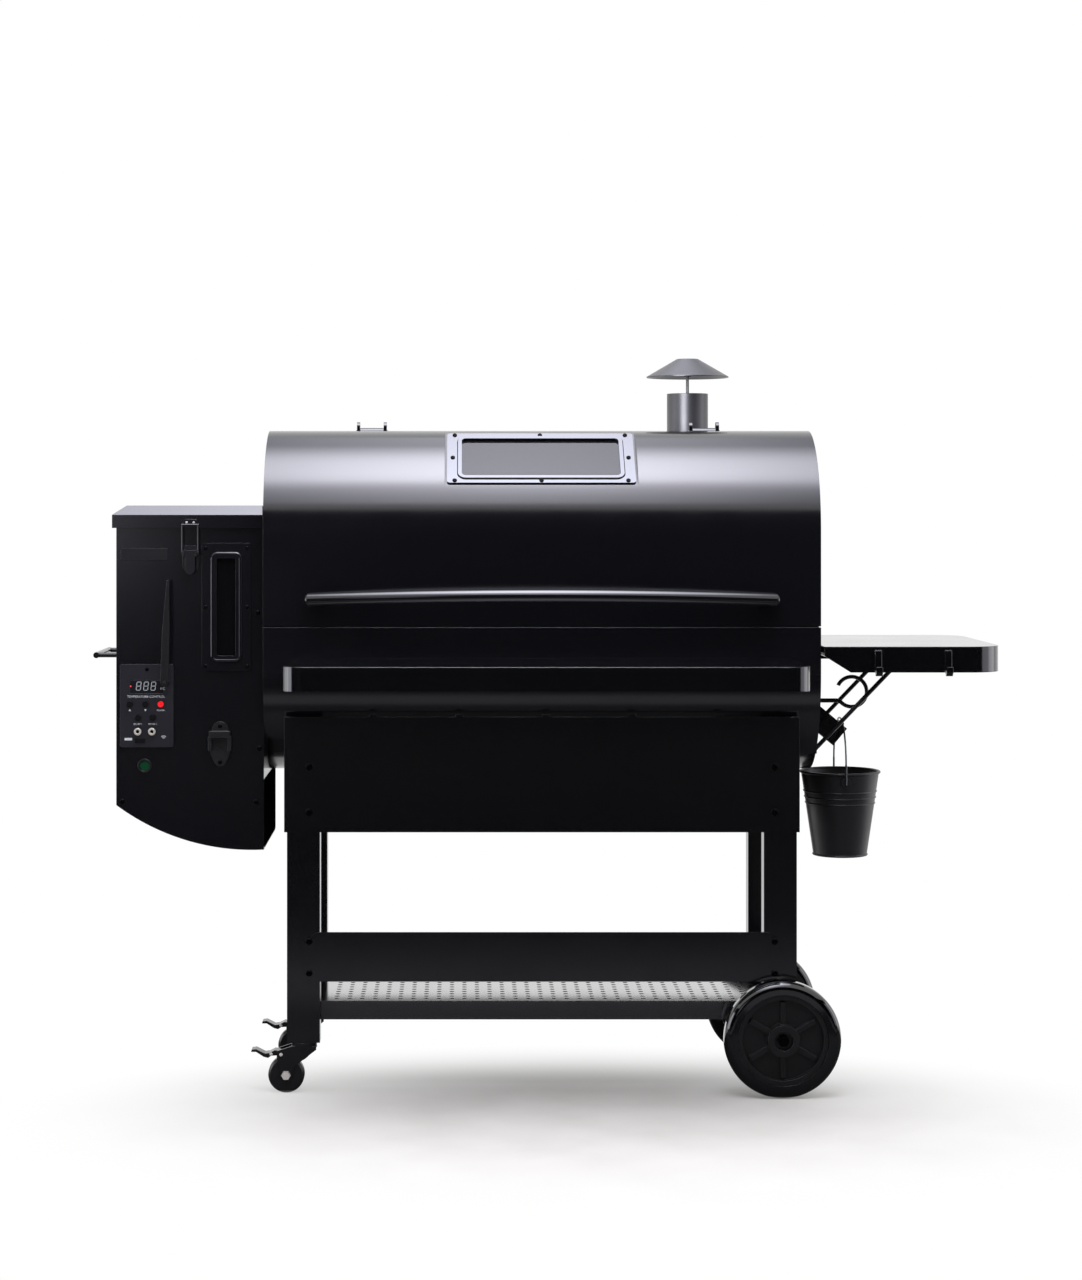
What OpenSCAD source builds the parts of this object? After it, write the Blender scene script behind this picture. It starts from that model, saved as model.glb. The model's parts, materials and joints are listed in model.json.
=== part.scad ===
// Pellet smoker grill on a wheeled cart: an obround barrel with a hinged lid, a pellet hopper with its
// controller on the left end, folding and fixed shelves, and a grease bucket on the right end.
// Millimetres, +Z up, front towards -Y. The origin is on the floor under the middle of the whole grill.

/* [Barrel] */
// Length of the barrel
barrel_len = 1016; // [900:1:1200]
// Depth of the barrel, front to back
barrel_depth = 380; // [340:1:420]
// Straight height between the two half rounds
barrel_flat = 257; // [220:1:300]
// Height of the barrel's underside above the floor
barrel_bottom_z = 576; // [560:1:640]
// Thickness of the formed sheet
sheet = 3; // [2:0.5:4]

/* [Lid] */
// Height of the lid's lower edge above the barrel's underside
lid_edge_rise = 275; // [240:1:310]
// Gap between the lid and the barrel
lid_gap = 2; // [1:0.5:4]
// Distance of the hinge line behind the top of the barrel
hinge_back = 70; // [50:1:90]
// Distance between the two hinges
hinge_spacing = 636; // [500:1:720]
// Width of one hinge
hinge_w = 57; // [45:1:80]
// Diameter of a hinge pin
hinge_pin_d = 8; // [6:0.5:10]
// Width of the window's flat
window_w = 354; // [280:1:420]
// Angle of the flat's upper edge, from the top of the barrel
window_top_angle = 14; // [10:1:20]
// Angle of the flat's lower edge, from the top of the barrel
window_bottom_angle = 63; // [52:1:66]
// Width of the glass that shows
glass_w = 292; // [220:1:320]
// Height of the glass that shows
glass_h = 112; // [70:1:116]
// Thickness of the glass
glass_t = 4; // [3:0.5:6]
// Length of the lid's handle
handle_len = 872; // [600:1:900]
// Diameter of the handle's tube
handle_d = 23; // [18:1:30]
// How far the handle bows out from the lid
handle_reach = 46; // [36:1:60]
// Height of the handle above the lid's lower edge
handle_rise = 50; // [40:1:80]

/* [Cart] */
// Width of a leg
leg_w = 60; // [45:1:70]
// Depth of a leg
leg_d = 40; // [30:1:50]
// Wall of a leg
leg_wall = 3; // [2:0.5:4]
// How far the legs' outer faces stand in from the barrel's ends
leg_setin = 43.5; // [30:0.5:80]
// Distance over the front and back faces of the legs
leg_depth = 308; // [280:1:340]
// How far the cart stands forward of the barrel's middle
cart_forward = 30; // [10:1:40]
// Height of the casters' legs above the floor
leg_bottom_z = 93; // [88:1:110]
// Height of the apron's lower edge
apron_bottom_z = 477; // [440:1:500]
// Height of the apron
apron_h = 210; // [170:1:225]
// How far the apron stands past the legs at each end
apron_lap = 5; // [2:1:12]
// Height of the lower rails' underside
rail_z = 205; // [190:1:240]
// Height of a lower rail
rail_h = 90; // [70:1:110]
// How far a rail's ends stop short of the leg's outer face
rail_inset = 30; // [15:1:40]
// Height of the bottom shelf's top
shelf_z = 165; // [150:1:180]
// Depth of the bottom shelf's turned-down lip
shelf_lip = 34; // [20:1:36]
// Spacing of the holes in the bottom shelf
hole_pitch = 23.5; // [20:0.5:30]
// Diameter of the holes in the bottom shelf
hole_d = 9; // [6:0.5:12]

/* [Wheels] */
// Diameter of a large wheel
wheel_d = 212; // [190:1:230]
// Width of a large wheel
wheel_w = 40; // [34:1:46]
// Diameter of a wheel's rim, inside the tyre
rim_d = 164; // [140:1:170]
// Number of spokes
spokes = 6; // [4:1:8]
// Diameter of the axle
axle_d = 12; // [10:0.5:14]
// Gap between a wheel and its leg
wheel_gap = 8; // [5:1:12]
// Diameter of a caster's wheel
caster_d = 66; // [56:1:70]
// Width of a caster's wheel
caster_w = 24; // [18:1:28]
// Distance of a caster's axle from its swivel axis
caster_trail = 32; // [28:1:42]

/* [Hopper] */
// Width of the hopper
hopper_w = 270; // [230:1:300]
// Depth of the hopper, front to back
hopper_depth = 300; // [270:1:330]
// How far the hopper's front stands behind the barrel's front
hopper_setback = 25; // [10:1:40]
// Height of the hopper's underside at the barrel
hopper_bottom_z = 442; // [420:1:470]
// Rise of the curved underside towards the outer end
hopper_sweep = 82; // [60:1:100]
// Height of the hopper's rim above the floor
hopper_rim_z = 1046; // [1020:1:1060]
// Overhang of the hopper's lid
hopper_lid_lap = 7; // [5:1:10]
// Height of the hopper lid's skirt
hopper_lid_skirt = 24; // [18:1:30]
// Height of the crown above the skirt
hopper_lid_crown = 17; // [12:1:24]
// Width of the hopper's window frame
sight_w = 90; // [76:1:100]
// Height of the hopper's window frame
sight_h = 234; // [200:1:250]
// Width of the hopper's glass that shows
sight_glass_w = 34; // [26:1:40]
// Height of the hopper's glass that shows
sight_glass_h = 178; // [150:1:190]

/* [Controller] */
// Width of the control panel
panel_w = 98; // [90:1:110]
// Height of the control panel
panel_h = 152; // [146:1:170]
// Diameter of a button
button_d = 11; // [9:0.5:12]
// Travel of a button
button_travel = 1.2; // [0.8:0.1:1.5]
// Length of the antenna
antenna_len = 186; // [140:1:200]
// Diameter of the power switch's rocker
rocker_d = 18; // [15:0.5:20]

/* [Shelves] */
// Width of the front shelf
front_shelf_w = 918; // [800:1:924]
// Depth of the front shelf
front_shelf_depth = 234; // [180:1:260]
// Height of the front shelf's top above the barrel's underside
front_shelf_rise = 217; // [200:1:225]
// Depth of the front shelf's lip
front_shelf_lip = 43; // [36:1:48]
// Length of the side shelf
side_shelf_len = 326; // [280:1:360]
// Depth of the side shelf, front to back
side_shelf_depth = 440; // [400:1:460]
// Height of the side shelf's top above the barrel's underside
side_shelf_rise = 240; // [222:1:250]
// Depth of the side shelf's lip
side_shelf_lip = 47; // [36:1:52]
// Radius of the front shelf's outer corners
shelf_corner = 34; // [24:1:44]
// Radius of the side shelf's outer corners
side_shelf_corner = 60; // [40:1:70]
// Diameter of the side shelf's struts
strut_d = 8; // [6:0.5:10]

/* [Smoke and grease] */
// Outer diameter of the chimney
chimney_d = 81; // [70:1:90]
// Height of the chimney's mouth above the floor
chimney_top_z = 1293; // [1260:1:1330]
// Distance of the chimney's middle from the barrel's middle
chimney_x = 301; // [240:1:330]
// Diameter of the chimney's cap
cap_d = 162; // [130:1:170]
// Height of the cap's cone
cap_h = 37; // [30:1:44]
// Gap between the chimney's mouth and the cap
cap_gap = 32; // [28:1:40]
// Diameter of the bucket's rim
bucket_d = 152; // [130:1:158]
// Diameter of the bucket's base
bucket_base_d = 100; // [90:1:110]
// Height of the bucket
bucket_h = 160; // [140:1:170]
// Diameter of the bucket's bail wire
bail_d = 3.2; // [3:0.1:4]

/* [Hidden] */
$fn = 96;

// Fits: a shaft in its bore, two still pieces that meet on a curve, and a moving piece past a still one
running = 0.05;
seat = 0.2;
clear = 0.5;
// Reach of a cutter past the face that it cuts
over = 1;

// Barrel
barrel_r = barrel_depth / 2;
barrel_low_z = barrel_bottom_z + barrel_r;
barrel_high_z = barrel_low_z + barrel_flat;
barrel_top_z = barrel_high_z + barrel_r;
end_x = barrel_len / 2;

// Lid: it ends in front of the hinge line, and its end plates are cut along a slope from front to back
lid_edge_z = barrel_bottom_z + lid_edge_rise;
split_land = 30;
split_y = hinge_back - 14;
split_knee_z = barrel_top_z - 64;
hinge_lift = 13;
hinge_z = barrel_high_z + sqrt(pow(barrel_r, 2) - pow(hinge_back, 2)) + hinge_lift;
knuckle_d = 18;
ear_t = 6;
ear_up = 10;
flat_angle = (window_top_angle + window_bottom_angle) / 2;
flat_spread = (window_bottom_angle - window_top_angle) / 2;
flat_dist = barrel_r * cos(flat_spread);
flat_half = barrel_r * sin(flat_spread);
glass_edge = 7;
frame_t = 3;
frame_margin = 4;
bead_w = 7;
bead_h = 2.5;
handle_tilt = 11;
handle_z = lid_edge_z + handle_rise;
handle_standoff = 4;
handle_post_d = 14;
handle_post_inset = 26;

// Cart
cart_front_y = -cart_forward - leg_depth / 2;
cart_back_y = -cart_forward + leg_depth / 2;
leg_span = barrel_len - 2 * leg_setin;
leg_x = leg_span / 2 - leg_w / 2;
leg_in_x = leg_span / 2 - leg_w;
leg_top_z = apron_bottom_z + apron_h - 10;
front_leg_y = cart_front_y + leg_d / 2;
back_leg_y = cart_back_y - leg_d / 2;
wheel_z = wheel_d / 2;
wheel_front_y = cart_front_y - wheel_gap - wheel_w / 2;
wheel_back_y = cart_back_y + wheel_gap + wheel_w / 2;

// Hopper
hopper_front_y = -barrel_r + hopper_setback;
hopper_back_y = hopper_front_y + hopper_depth;
hopper_right_x = -end_x;
hopper_left_x = hopper_right_x - hopper_w;

// Reach of the whole grill, which sets the origin
side_handle_reach = 50;
chimney_clear = 10;
chimney_y = barrel_r + chimney_clear + chimney_d / 2;
side_shelf_gap = 4;
side_shelf_x = end_x + side_shelf_gap;
front_shelf_gap = 16;
shelf_pivot_y = -barrel_r - front_shelf_gap;
reach_left = hopper_left_x - side_handle_reach;
reach_right = side_shelf_x + side_shelf_len;
reach_front = shelf_pivot_y - front_shelf_depth;
reach_back = chimney_y + cap_d / 2;
origin = [(reach_left + reach_right) / 2, (reach_front + reach_back) / 2, 0];

// Chimney and cap details
pipe_t = 2;
stub_d = 70;
stub_z = barrel_high_z - 90;
flange_t = 3;
flange_w = 14;
strap_w = 14;
strap_t = 4;
strap_drop = 16;
stud_d = 6;
stud_grip = 8;
cap_t = 2;
cap_crown_d = 42;
cap_hub_d = 14;

// Fire and feed: the auger runs along the barrel from under the bin to the firepot
auger_y = 0;
auger_z = barrel_bottom_z + 64;
auger_tube_d = 54;
auger_tube_t = 2;
auger_d = 42;
auger_shaft_d = 14;
auger_pitch = 48;
auger_flight_t = 4;
firepot_x = -150;
firepot_d = 110;
firepot_t = 4;
firepot_h = 112;
igniter_d = 10;
tray_ledge_z = barrel_low_z + 14;
grate_ledge_z = lid_edge_z - 30;
ledge_w = 14;
ledge_t = 3;
shield_rod_d = 8;
shield_rod_y = -62;
shield_rod_z = barrel_bottom_z + 132;
shield_len = 250;
shield_w = 170;
shield_t = 3;
shield_lip = 10;
curl_r = 28;
curl_rise = 16;
shield_pull = 60;

// Grease chute and bucket: the bail hangs over the chute's end
chute_w = 44;
chute_h = 41;
chute_t = 2.5;
chute_angle = 40;
chute_len = 76;
chute_z = barrel_bottom_z + 109;
chute_mouth_h = chute_h / cos(chute_angle) - 4 * chute_t;
chute_mouth_z = chute_z - chute_mouth_h / 2;
hang_x = end_x + 61;
hang_z = chute_z + chute_h / 2 / cos(chute_angle) - (hang_x - end_x) * tan(chute_angle);
hang_roll_d = 10;
bucket_clear = 4;
bucket_top_z = barrel_bottom_z - bucket_clear;
bucket_bottom_z = bucket_top_z - bucket_h;
bucket_t = 1.5;
rim_roll_d = 5;
ear_drop = 17;
ear_z = bucket_top_z - ear_drop;
ear_d = 18;
ear_grip = 6;
ear_r = bucket_base_d / 2 + (bucket_d - bucket_base_d) / 2 * (bucket_h - ear_drop) / bucket_h;
bail_y = ear_r + 9;
bail_drop = bail_y - sqrt(pow(bail_y, 2) - pow(chute_w / 2, 2));
bail_top_z = hang_z + hang_roll_d / 2 + bail_drop + (bail_d / 2 + seat) / cos(chute_angle);
foot_lift = 5;
curl_neck_r = 12;
curl_neck_angle = 45;
curl_turn = 290;

// Cart details
plate_t = 3;
leg_floor_t = 4;
right_leg_z = wheel_z - 24;
leg_reach = 36;
back_rail_rise = 7;
back_rail_h = 30;
tab_w = 14;
tab_h = 5;
shelf_front_y = cart_front_y + 24;
shelf_back_y = cart_back_y - 24;
nut_d = 22;
nut_t = 9;
hub_d = 58;
hub_proud = 6;
recess_d = 34;
recess_h = 11;
web_t = 8;
rim_t = 9;
rib_w = 9;
rib_h = 9;
collar_d = 26;

// Caster details, measured from the swivel axis and the floor
caster_z = caster_d / 2;
race_d = 46;
race_h = 7;
stem_d = 12;
stem_up = 16;
fork_top_z = leg_bottom_z - clear - race_h;
fork_t = 3;
fork_gap = 1.5;
fork_in_y = caster_w / 2 + fork_gap;
caster_bolt_d = 8;
bolt_head_d = 17;
bolt_head_t = 5;
brake_x = caster_trail + 9;
brake_z = caster_d + 5;
brake_pin_d = 6;
brake_w = 2 * (fork_in_y - clear);
brake_reach = 54;

// Hopper details
hopper_t = 2.5;
sweep_back = 22;
sweep_dx = hopper_w - sweep_back;
sweep_r = (pow(sweep_dx, 2) + pow(hopper_sweep, 2)) / (2 * hopper_sweep);
sight_x = hopper_right_x - 68.5;
sight_z = hopper_rim_z - 159.5;
sight_edge = 5;
sight_t = 3;
lid_skirt_z = hopper_rim_z - 15;
lid_right_x = hopper_right_x - side_shelf_gap / 2;
hopper_hinge_y = hopper_back_y + hopper_lid_lap + 8;
hopper_hinge_z = hopper_rim_z - 6;
hopper_pin_d = 6;
hopper_knuckle_w = 30;
bin_t = 1.5;
bin_wall_z = sight_z - sight_h / 2 - 20;
bin_mouth_x = hopper_right_x - hopper_w * 0.55;
bin_mouth_len = 110;
motor_x = hopper_left_x + hopper_t;
motor_len = 52;
motor_w = 70;
fan_y = 70;
fan_z = hopper_bottom_z + hopper_sweep + 24;
fan_d = 92;
fan_shaft_d = 8;
fan_motor_len = 34;
fan_w = 18;
latch_x = hopper_left_x + hopper_w / 2 + 1;
latch_z = hopper_rim_z - 61;
latch_y = hopper_front_y - 8;
latch_pin_d = 4;
loop_y = hopper_front_y - hopper_lid_lap - 5;
handle_grip_d = 11;
grip_z = hopper_rim_z - 251;
opener_x = hopper_right_x - 80;
opener_z = hopper_rim_z - 410;

// Controller details, measured from the panel's upper left corner
panel_t = 4;
panel_x = hopper_left_x + 7;
panel_z = hopper_rim_z - 264;
button_proud = 3;
button_tail = 7;
lens_t = 2;
lens_w = 62;
lens_h = 24;
jack_d = 14;
rocker_x = hopper_left_x + 52;
rocker_z = hopper_rim_z - 450;
rocker_t = 5;
rocker_pin_d = 2.5;
bezel_w = 4;
antenna_x = panel_x + panel_w - 14;
antenna_z = panel_z - 32;
antenna_y = hopper_front_y - 24;
antenna_stud_d = 6;
antenna_foot_d = 15;
antenna_t = 8;
lens_down = 41;
jack_down = 123;
button_spots = [[18.3, 73], [46.8, 73], [74.8, 73], [33.8, 97.6], [60, 97.6]];

// Shelf details
fold_y = shelf_pivot_y - 10;
fold_z = barrel_bottom_z + front_shelf_rise - front_shelf_lip + 8;
fold_pin_d = 8;
bracket_x = front_shelf_w / 2 - 14;
strut_y = 100;
side_shelf_y = 15;

// Paint colours
satin_black = "#1d1d1f";
gloss_black = "#121214";
bare_steel = "#b9b9bb";

// Places a piece drawn about the barrel's middle in the grill's own frame
module placed() {
    translate(-origin) children();
}

// A block between two opposite corners
module block(low, high) {
    translate(low) cube(high - low);
}

// A flat outline in (Y, Z), extruded along X between two places
module along_x(x0, x1) {
    translate([x0, 0, 0]) rotate([90, 0, 90]) linear_extrude(x1 - x0) children();
}

// A flat outline in (X, Z), extruded along Y between two places
module along_y(y0, y1) {
    translate([0, y1, 0]) rotate([90, 0, 0]) linear_extrude(y1 - y0) children();
}

// A cylinder along X or Y from a start point
module rod_x(start, length, d) {
    translate(start) rotate([0, 90, 0]) cylinder(d = d, h = length);
}
module rod_y(start, length, d) {
    translate(start) rotate([-90, 0, 0]) cylinder(d = d, h = length);
}

// A rectangle with round corners about its middle
module round_rect(w, h, r) {
    square([w - 2 * r, h], center = true);
    square([w, h - 2 * r], center = true);
    for (x = [-1, 1], y = [-1, 1]) translate([x * (w / 2 - r), y * (h / 2 - r)]) circle(r);
}

// The barrel's obround section in (Y, Z), grown or shrunk all round
module barrel_section(grow = 0) {
    r = barrel_r + grow;
    translate([-r, barrel_low_z]) square([2 * r, barrel_flat]);
    for (z = [barrel_low_z, barrel_high_z]) translate([0, z]) circle(r);
}

// The part of the section that lifts with the lid, moved in or out by a margin
module lid_zone(margin) {
    far = barrel_depth;
    polygon([
        [-far, lid_edge_z + margin],
        [-barrel_r + split_land, lid_edge_z + margin],
        [split_y - margin, split_knee_z + margin],
        [split_y - margin, barrel_top_z + far],
        [-far, barrel_top_z + far]
    ]);
}

// Local frame of the window's flat: X along the barrel, Y up the slope, Z out of it
module on_flat() {
    translate([0, 0, barrel_high_z]) rotate([flat_angle, 0, 0]) translate([0, 0, flat_dist]) children();
}

// Barrel, lid and chimney

// Lower barrel with its end plates, open where the lid closes it
module barrel_body() {
    color(satin_black) placed() difference() {
        union() {
            difference() {
                along_x(-end_x, end_x) difference() {
                    barrel_section();
                    lid_zone(-lid_gap / 2);
                }
                along_x(-end_x + sheet, end_x - sheet) barrel_section(-sheet);
            }
            for (s = [-1, 1], z = [tray_ledge_z, grate_ledge_z])
                block([-end_x + 1, s * (barrel_r - 1 - ledge_w / 2) - ledge_w / 2, z],
                      [end_x - 1, s * (barrel_r - 1 - ledge_w / 2) + ledge_w / 2, z + ledge_t]);
        }
        rod_x([-end_x - over, auger_y, auger_z], sheet + 2 * over, auger_tube_d + 2 * seat);
        rod_x([end_x - sheet - over, shield_rod_y, shield_rod_z], sheet + 2 * over, shield_rod_d + 2 * clear);
        block([end_x - sheet - over, -chute_w / 2 + chute_t, chute_mouth_z],
              [end_x + over, chute_w / 2 - chute_t, chute_mouth_z + chute_mouth_h]);
        rod_y([chimney_x, barrel_r - sheet - over, stub_z], sheet + 2 * over, stub_d - 2 * pipe_t);
    }
}

// The section where the window's flat is pressed in, grown or shrunk all round
module flat_section(grow = 0) {
    far = 2 * barrel_depth;
    intersection() {
        barrel_section(grow);
        translate([0, barrel_high_z]) rotate(flat_angle) translate([-far, -2 * far])
            square([2 * far, 2 * far + flat_dist + grow]);
    }
}

// Lid skin with its end plates, and the pressed flat that takes the window
module lid_shell() {
    wall_x = window_w / 2 + sheet;
    hole = [glass_w + 2 * glass_edge + 2 * clear, glass_h + 2 * glass_edge + 2 * clear];
    color(satin_black) placed() difference() {
        along_x(-end_x, end_x) intersection() {
            barrel_section();
            lid_zone(lid_gap / 2);
        }
        along_x(-window_w / 2, window_w / 2) difference() {
            barrel_section(barrel_r);
            flat_section();
            translate([-barrel_depth, 0]) square([2 * barrel_depth, barrel_high_z]);
            translate([barrel_r / 4, 0]) square([2 * barrel_depth, 4 * barrel_high_z]);
        }
        for (s = [-1, 1]) along_x(s * (end_x - sheet + wall_x) / 2 - (end_x - sheet - wall_x) / 2,
                                  s * (end_x - sheet + wall_x) / 2 + (end_x - sheet - wall_x) / 2) barrel_section(-sheet);
        along_x(-wall_x, wall_x) flat_section(-sheet);
        on_flat() translate([0, 0, -sheet - over]) linear_extrude(sheet + 2 * over) square(hole, center = true);
    }
}

// Pressed frame that clamps the glass on the flat, with a raised bead round the opening
module window_frame() {
    color(bare_steel) placed() on_flat() {
        linear_extrude(frame_t) difference() {
            round_rect(window_w - 2 * frame_margin, 2 * (flat_half - frame_margin), 6);
            round_rect(glass_w, glass_h, 8);
        }
        translate([0, 0, frame_t]) linear_extrude(bead_h) difference() {
            round_rect(glass_w + 2 * bead_w, glass_h + 2 * bead_w, 8 + bead_w);
            round_rect(glass_w, glass_h, 8);
        }
    }
}

// Heat-proof pane behind the frame
module window_glass() {
    color("#6f7478") placed() on_flat() translate([0, 0, -glass_t])
        linear_extrude(glass_t) square([glass_w + 2 * glass_edge, glass_h + 2 * glass_edge], center = true);
}

// Bowed tube handle on two posts
module lid_handle() {
    half = handle_len / 2 - handle_d / 2;
    bow_r = (pow(half, 2) + pow(handle_reach, 2)) / (2 * handle_reach);
    bow_angle = asin(half / bow_r);
    start_y = -barrel_r - handle_standoff - handle_d / 2;
    color(satin_black) placed() {
        translate([0, start_y, handle_z]) rotate([-handle_tilt, 0, 0]) {
            translate([0, bow_r - handle_reach, 0]) rotate([0, 0, -90 - bow_angle])
                rotate_extrude(angle = 2 * bow_angle, $fn = 720) translate([bow_r, 0]) circle(d = handle_d, $fn = 48);
        }
        for (s = [-1, 1])
            rod_y([s * (half - handle_post_inset), start_y, handle_z], handle_standoff + handle_d / 2, handle_post_d);
    }
}

// Hinge foot on the rear skin, with two ears that hold the pin
module lid_hinges() {
    color(bare_steel) placed() for (s = [-1, 1]) translate([s * hinge_spacing / 2, 0, 0]) {
        difference() {
            union() {
                along_x(-hinge_w / 2, hinge_w / 2)
                    translate([split_y + lid_gap, hinge_z - hinge_lift - 40]) square([44, 40]);
                for (x = [-hinge_w / 2, hinge_w / 2 - ear_t]) along_x(x, x + ear_t) {
                    translate([hinge_back, hinge_z + ear_up]) circle(d = knuckle_d);
                    translate([hinge_back - knuckle_d / 2, hinge_z - 30]) square([knuckle_d, 30 + ear_up]);
                }
            }
            along_x(-hinge_w, hinge_w) barrel_section(seat);
        }
        rod_x([-hinge_w / 2 - 2, hinge_back, hinge_z], hinge_w + 4, hinge_pin_d);
    }
}

// Lid straps that turn on the hinge pins
module lid_knuckles() {
    knuckle_w = hinge_w - 2 * ear_t - 2 * clear;
    color(bare_steel) placed() for (s = [-1, 1]) translate([s * hinge_spacing / 2, 0, 0])
        difference() {
            union() {
                rod_x([-knuckle_w / 2, hinge_back, hinge_z], knuckle_w, knuckle_d - 2);
                along_x(-knuckle_w / 2, knuckle_w / 2)
                    translate([split_y - 46, hinge_z - knuckle_d / 2]) square([46 + hinge_back - split_y, 8]);
            }
            rod_x([-knuckle_w, hinge_back, hinge_z], 2 * knuckle_w, hinge_pin_d + 2 * running);
            along_x(-hinge_w, hinge_w) barrel_section(seat);
        }
}

// Upright flue with its elbow stub, a strap across the mouth and the cap's stud
module chimney_pipe() {
    foot_z = stub_z - stub_d / 2 - 4;
    color(satin_black) placed() {
        difference() {
            union() {
                translate([chimney_x, chimney_y, foot_z]) cylinder(d = chimney_d, h = chimney_top_z - foot_z);
                rod_y([chimney_x, barrel_r, stub_z], chimney_y - barrel_r, stub_d);
                rod_y([chimney_x, barrel_r, stub_z], flange_t, stub_d + 2 * flange_w);
            }
            translate([chimney_x, chimney_y, foot_z + pipe_t])
                cylinder(d = chimney_d - 2 * pipe_t, h = chimney_top_z - foot_z);
            rod_y([chimney_x, barrel_r - over, stub_z], chimney_y - barrel_r + over, stub_d - 2 * pipe_t);
        }
        translate([chimney_x, chimney_y, 0]) {
            intersection() {
                block([-chimney_d / 2, -strap_w / 2, chimney_top_z - strap_drop - strap_t],
                      [chimney_d / 2, strap_w / 2, chimney_top_z - strap_drop]);
                translate([0, 0, barrel_bottom_z]) cylinder(d = chimney_d - pipe_t, h = chimney_top_z);
            }
            translate([0, 0, chimney_top_z - strap_drop - strap_t / 2])
                cylinder(d = stud_d, h = strap_drop + strap_t / 2 + cap_gap + stud_grip);
        }
    }
}

// Cone cap with a hub that rides up and down on the stud
module chimney_cap() {
    rim_r = cap_d / 2;
    crown_r = cap_crown_d / 2;
    color(satin_black) placed() translate([chimney_x, chimney_y, chimney_top_z + cap_gap]) {
        rotate_extrude() polygon([
            [0, cap_h], [crown_r, cap_h], [rim_r, cap_t], [rim_r, 0], [rim_r - cap_t, 0],
            [crown_r - cap_t, cap_h - cap_t], [0, cap_h - cap_t]
        ]);
        difference() {
            translate([0, 0, 1]) cylinder(d = cap_hub_d, h = cap_h - cap_t - 0.5);
            translate([0, 0, 0]) cylinder(d = stud_d + 2 * running, h = cap_h - cap_t);
        }
    }
}

// Fire, feed and grease

// Pan above the fire that runs down to the right, hung by its flanges on the ledges
module drip_tray() {
    half_x = end_x - sheet - 24;
    half_y = barrel_r - sheet - ledge_w - 8;
    high_z = tray_ledge_z - 4;
    low_z = high_z - 36;
    flange_y = barrel_r - sheet - 2;
    color("#4a4a4c") placed() {
        along_y(-half_y, half_y)
            polygon([[-half_x, high_z], [half_x, low_z], [half_x, low_z + 2], [-half_x, high_z + 2]]);
        for (s = [-1, 1]) {
            along_y(s * half_y - 1, s * half_y + 1)
                polygon([[-half_x, high_z], [half_x, low_z], [half_x, tray_ledge_z + ledge_t + 2],
                         [-half_x, tray_ledge_z + ledge_t + 2]]);
            block([-half_x, min(s * half_y, s * flange_y), tray_ledge_z + ledge_t],
                  [half_x, max(s * half_y, s * flange_y), tray_ledge_z + ledge_t + 2]);
        }
    }
}

// Two cooking grates side by side on the upper ledges
module grates() {
    bars = 25;
    bar_d = 6;
    gap = 4;
    half_y = barrel_r - sheet - 3;
    grate_len = (barrel_len - 2 * sheet - 3 * gap) / 2;
    base_z = grate_ledge_z + ledge_t;
    pitch = (grate_len - bar_d) / (bars - 1);
    color("#3a3a3c") placed() for (s = [-1, 1]) translate([s * (grate_len + gap) / 2 - grate_len / 2, 0, base_z]) {
        for (y = [-1, 0, 1])
            block([0, y * (half_y - bar_d / 2) - bar_d / 2, 0], [grate_len, y * (half_y - bar_d / 2) + bar_d / 2, bar_d]);
        for (i = [0 : bars - 1])
            block([i * pitch, -half_y, bar_d / 2], [i * pitch + bar_d, half_y, bar_d * 1.5]);
    }
}

// Cast cup that seats in the barrel's round bottom, with the igniter in its back
module firepot() {
    top_z = barrel_bottom_z + firepot_h;
    cup_z = auger_z - auger_tube_d / 2 - 6;
    igniter_len = 58;
    color("#5a5654") placed() {
        difference() {
            intersection() {
                translate([firepot_x, 0, barrel_bottom_z]) cylinder(d = firepot_d, h = firepot_h);
                along_x(-end_x, end_x) barrel_section(-sheet - seat);
            }
            translate([firepot_x, 0, cup_z]) cylinder(d = firepot_d - 2 * firepot_t, h = top_z - cup_z + over);
            rod_x([firepot_x - firepot_d, auger_y, auger_z], firepot_d, auger_tube_d + 2 * seat);
            rod_y([firepot_x, 0, cup_z + igniter_d], firepot_d, igniter_d + 2 * seat);
        }
        color(bare_steel) rod_y([firepot_x, firepot_d / 2 - firepot_t - 12, cup_z + igniter_d], igniter_len, igniter_d);
    }
}

// Feed tube from the bin to the firepot, open on top where the pellets drop in
module auger_tube() {
    start_x = hopper_left_x + 70;
    end_tube_x = firepot_x - firepot_d / 2 + firepot_t + 8;
    color("#6b6b6e") placed() difference() {
        rod_x([start_x, auger_y, auger_z], end_tube_x - start_x, auger_tube_d);
        rod_x([start_x - over, auger_y, auger_z], end_tube_x - start_x + 2 * over, auger_tube_d - 2 * auger_tube_t);
        block([bin_mouth_x - bin_mouth_len / 2, -auger_d / 2 + 4, auger_z],
              [bin_mouth_x + bin_mouth_len / 2, auger_d / 2 - 4, auger_z + auger_tube_d]);
    }
}

// Feed screw: a shaft with one helical flight
module auger() {
    start_x = motor_x + motor_len;
    flight_x = hopper_left_x + 76;
    flight_len = firepot_x - firepot_d / 2 - flight_x;
    turns = flight_len / auger_pitch;
    color(bare_steel) placed() {
        rod_x([start_x, auger_y, auger_z], flight_x + flight_len - start_x, auger_shaft_d);
        translate([flight_x, auger_y, auger_z]) rotate([0, 90, 0])
            linear_extrude(flight_len, twist = -360 * turns, slices = 12 * ceil(turns), $fn = 4)
                translate([0, -auger_flight_t / 2]) square([auger_d / 2, auger_flight_t]);
    }
}

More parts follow.
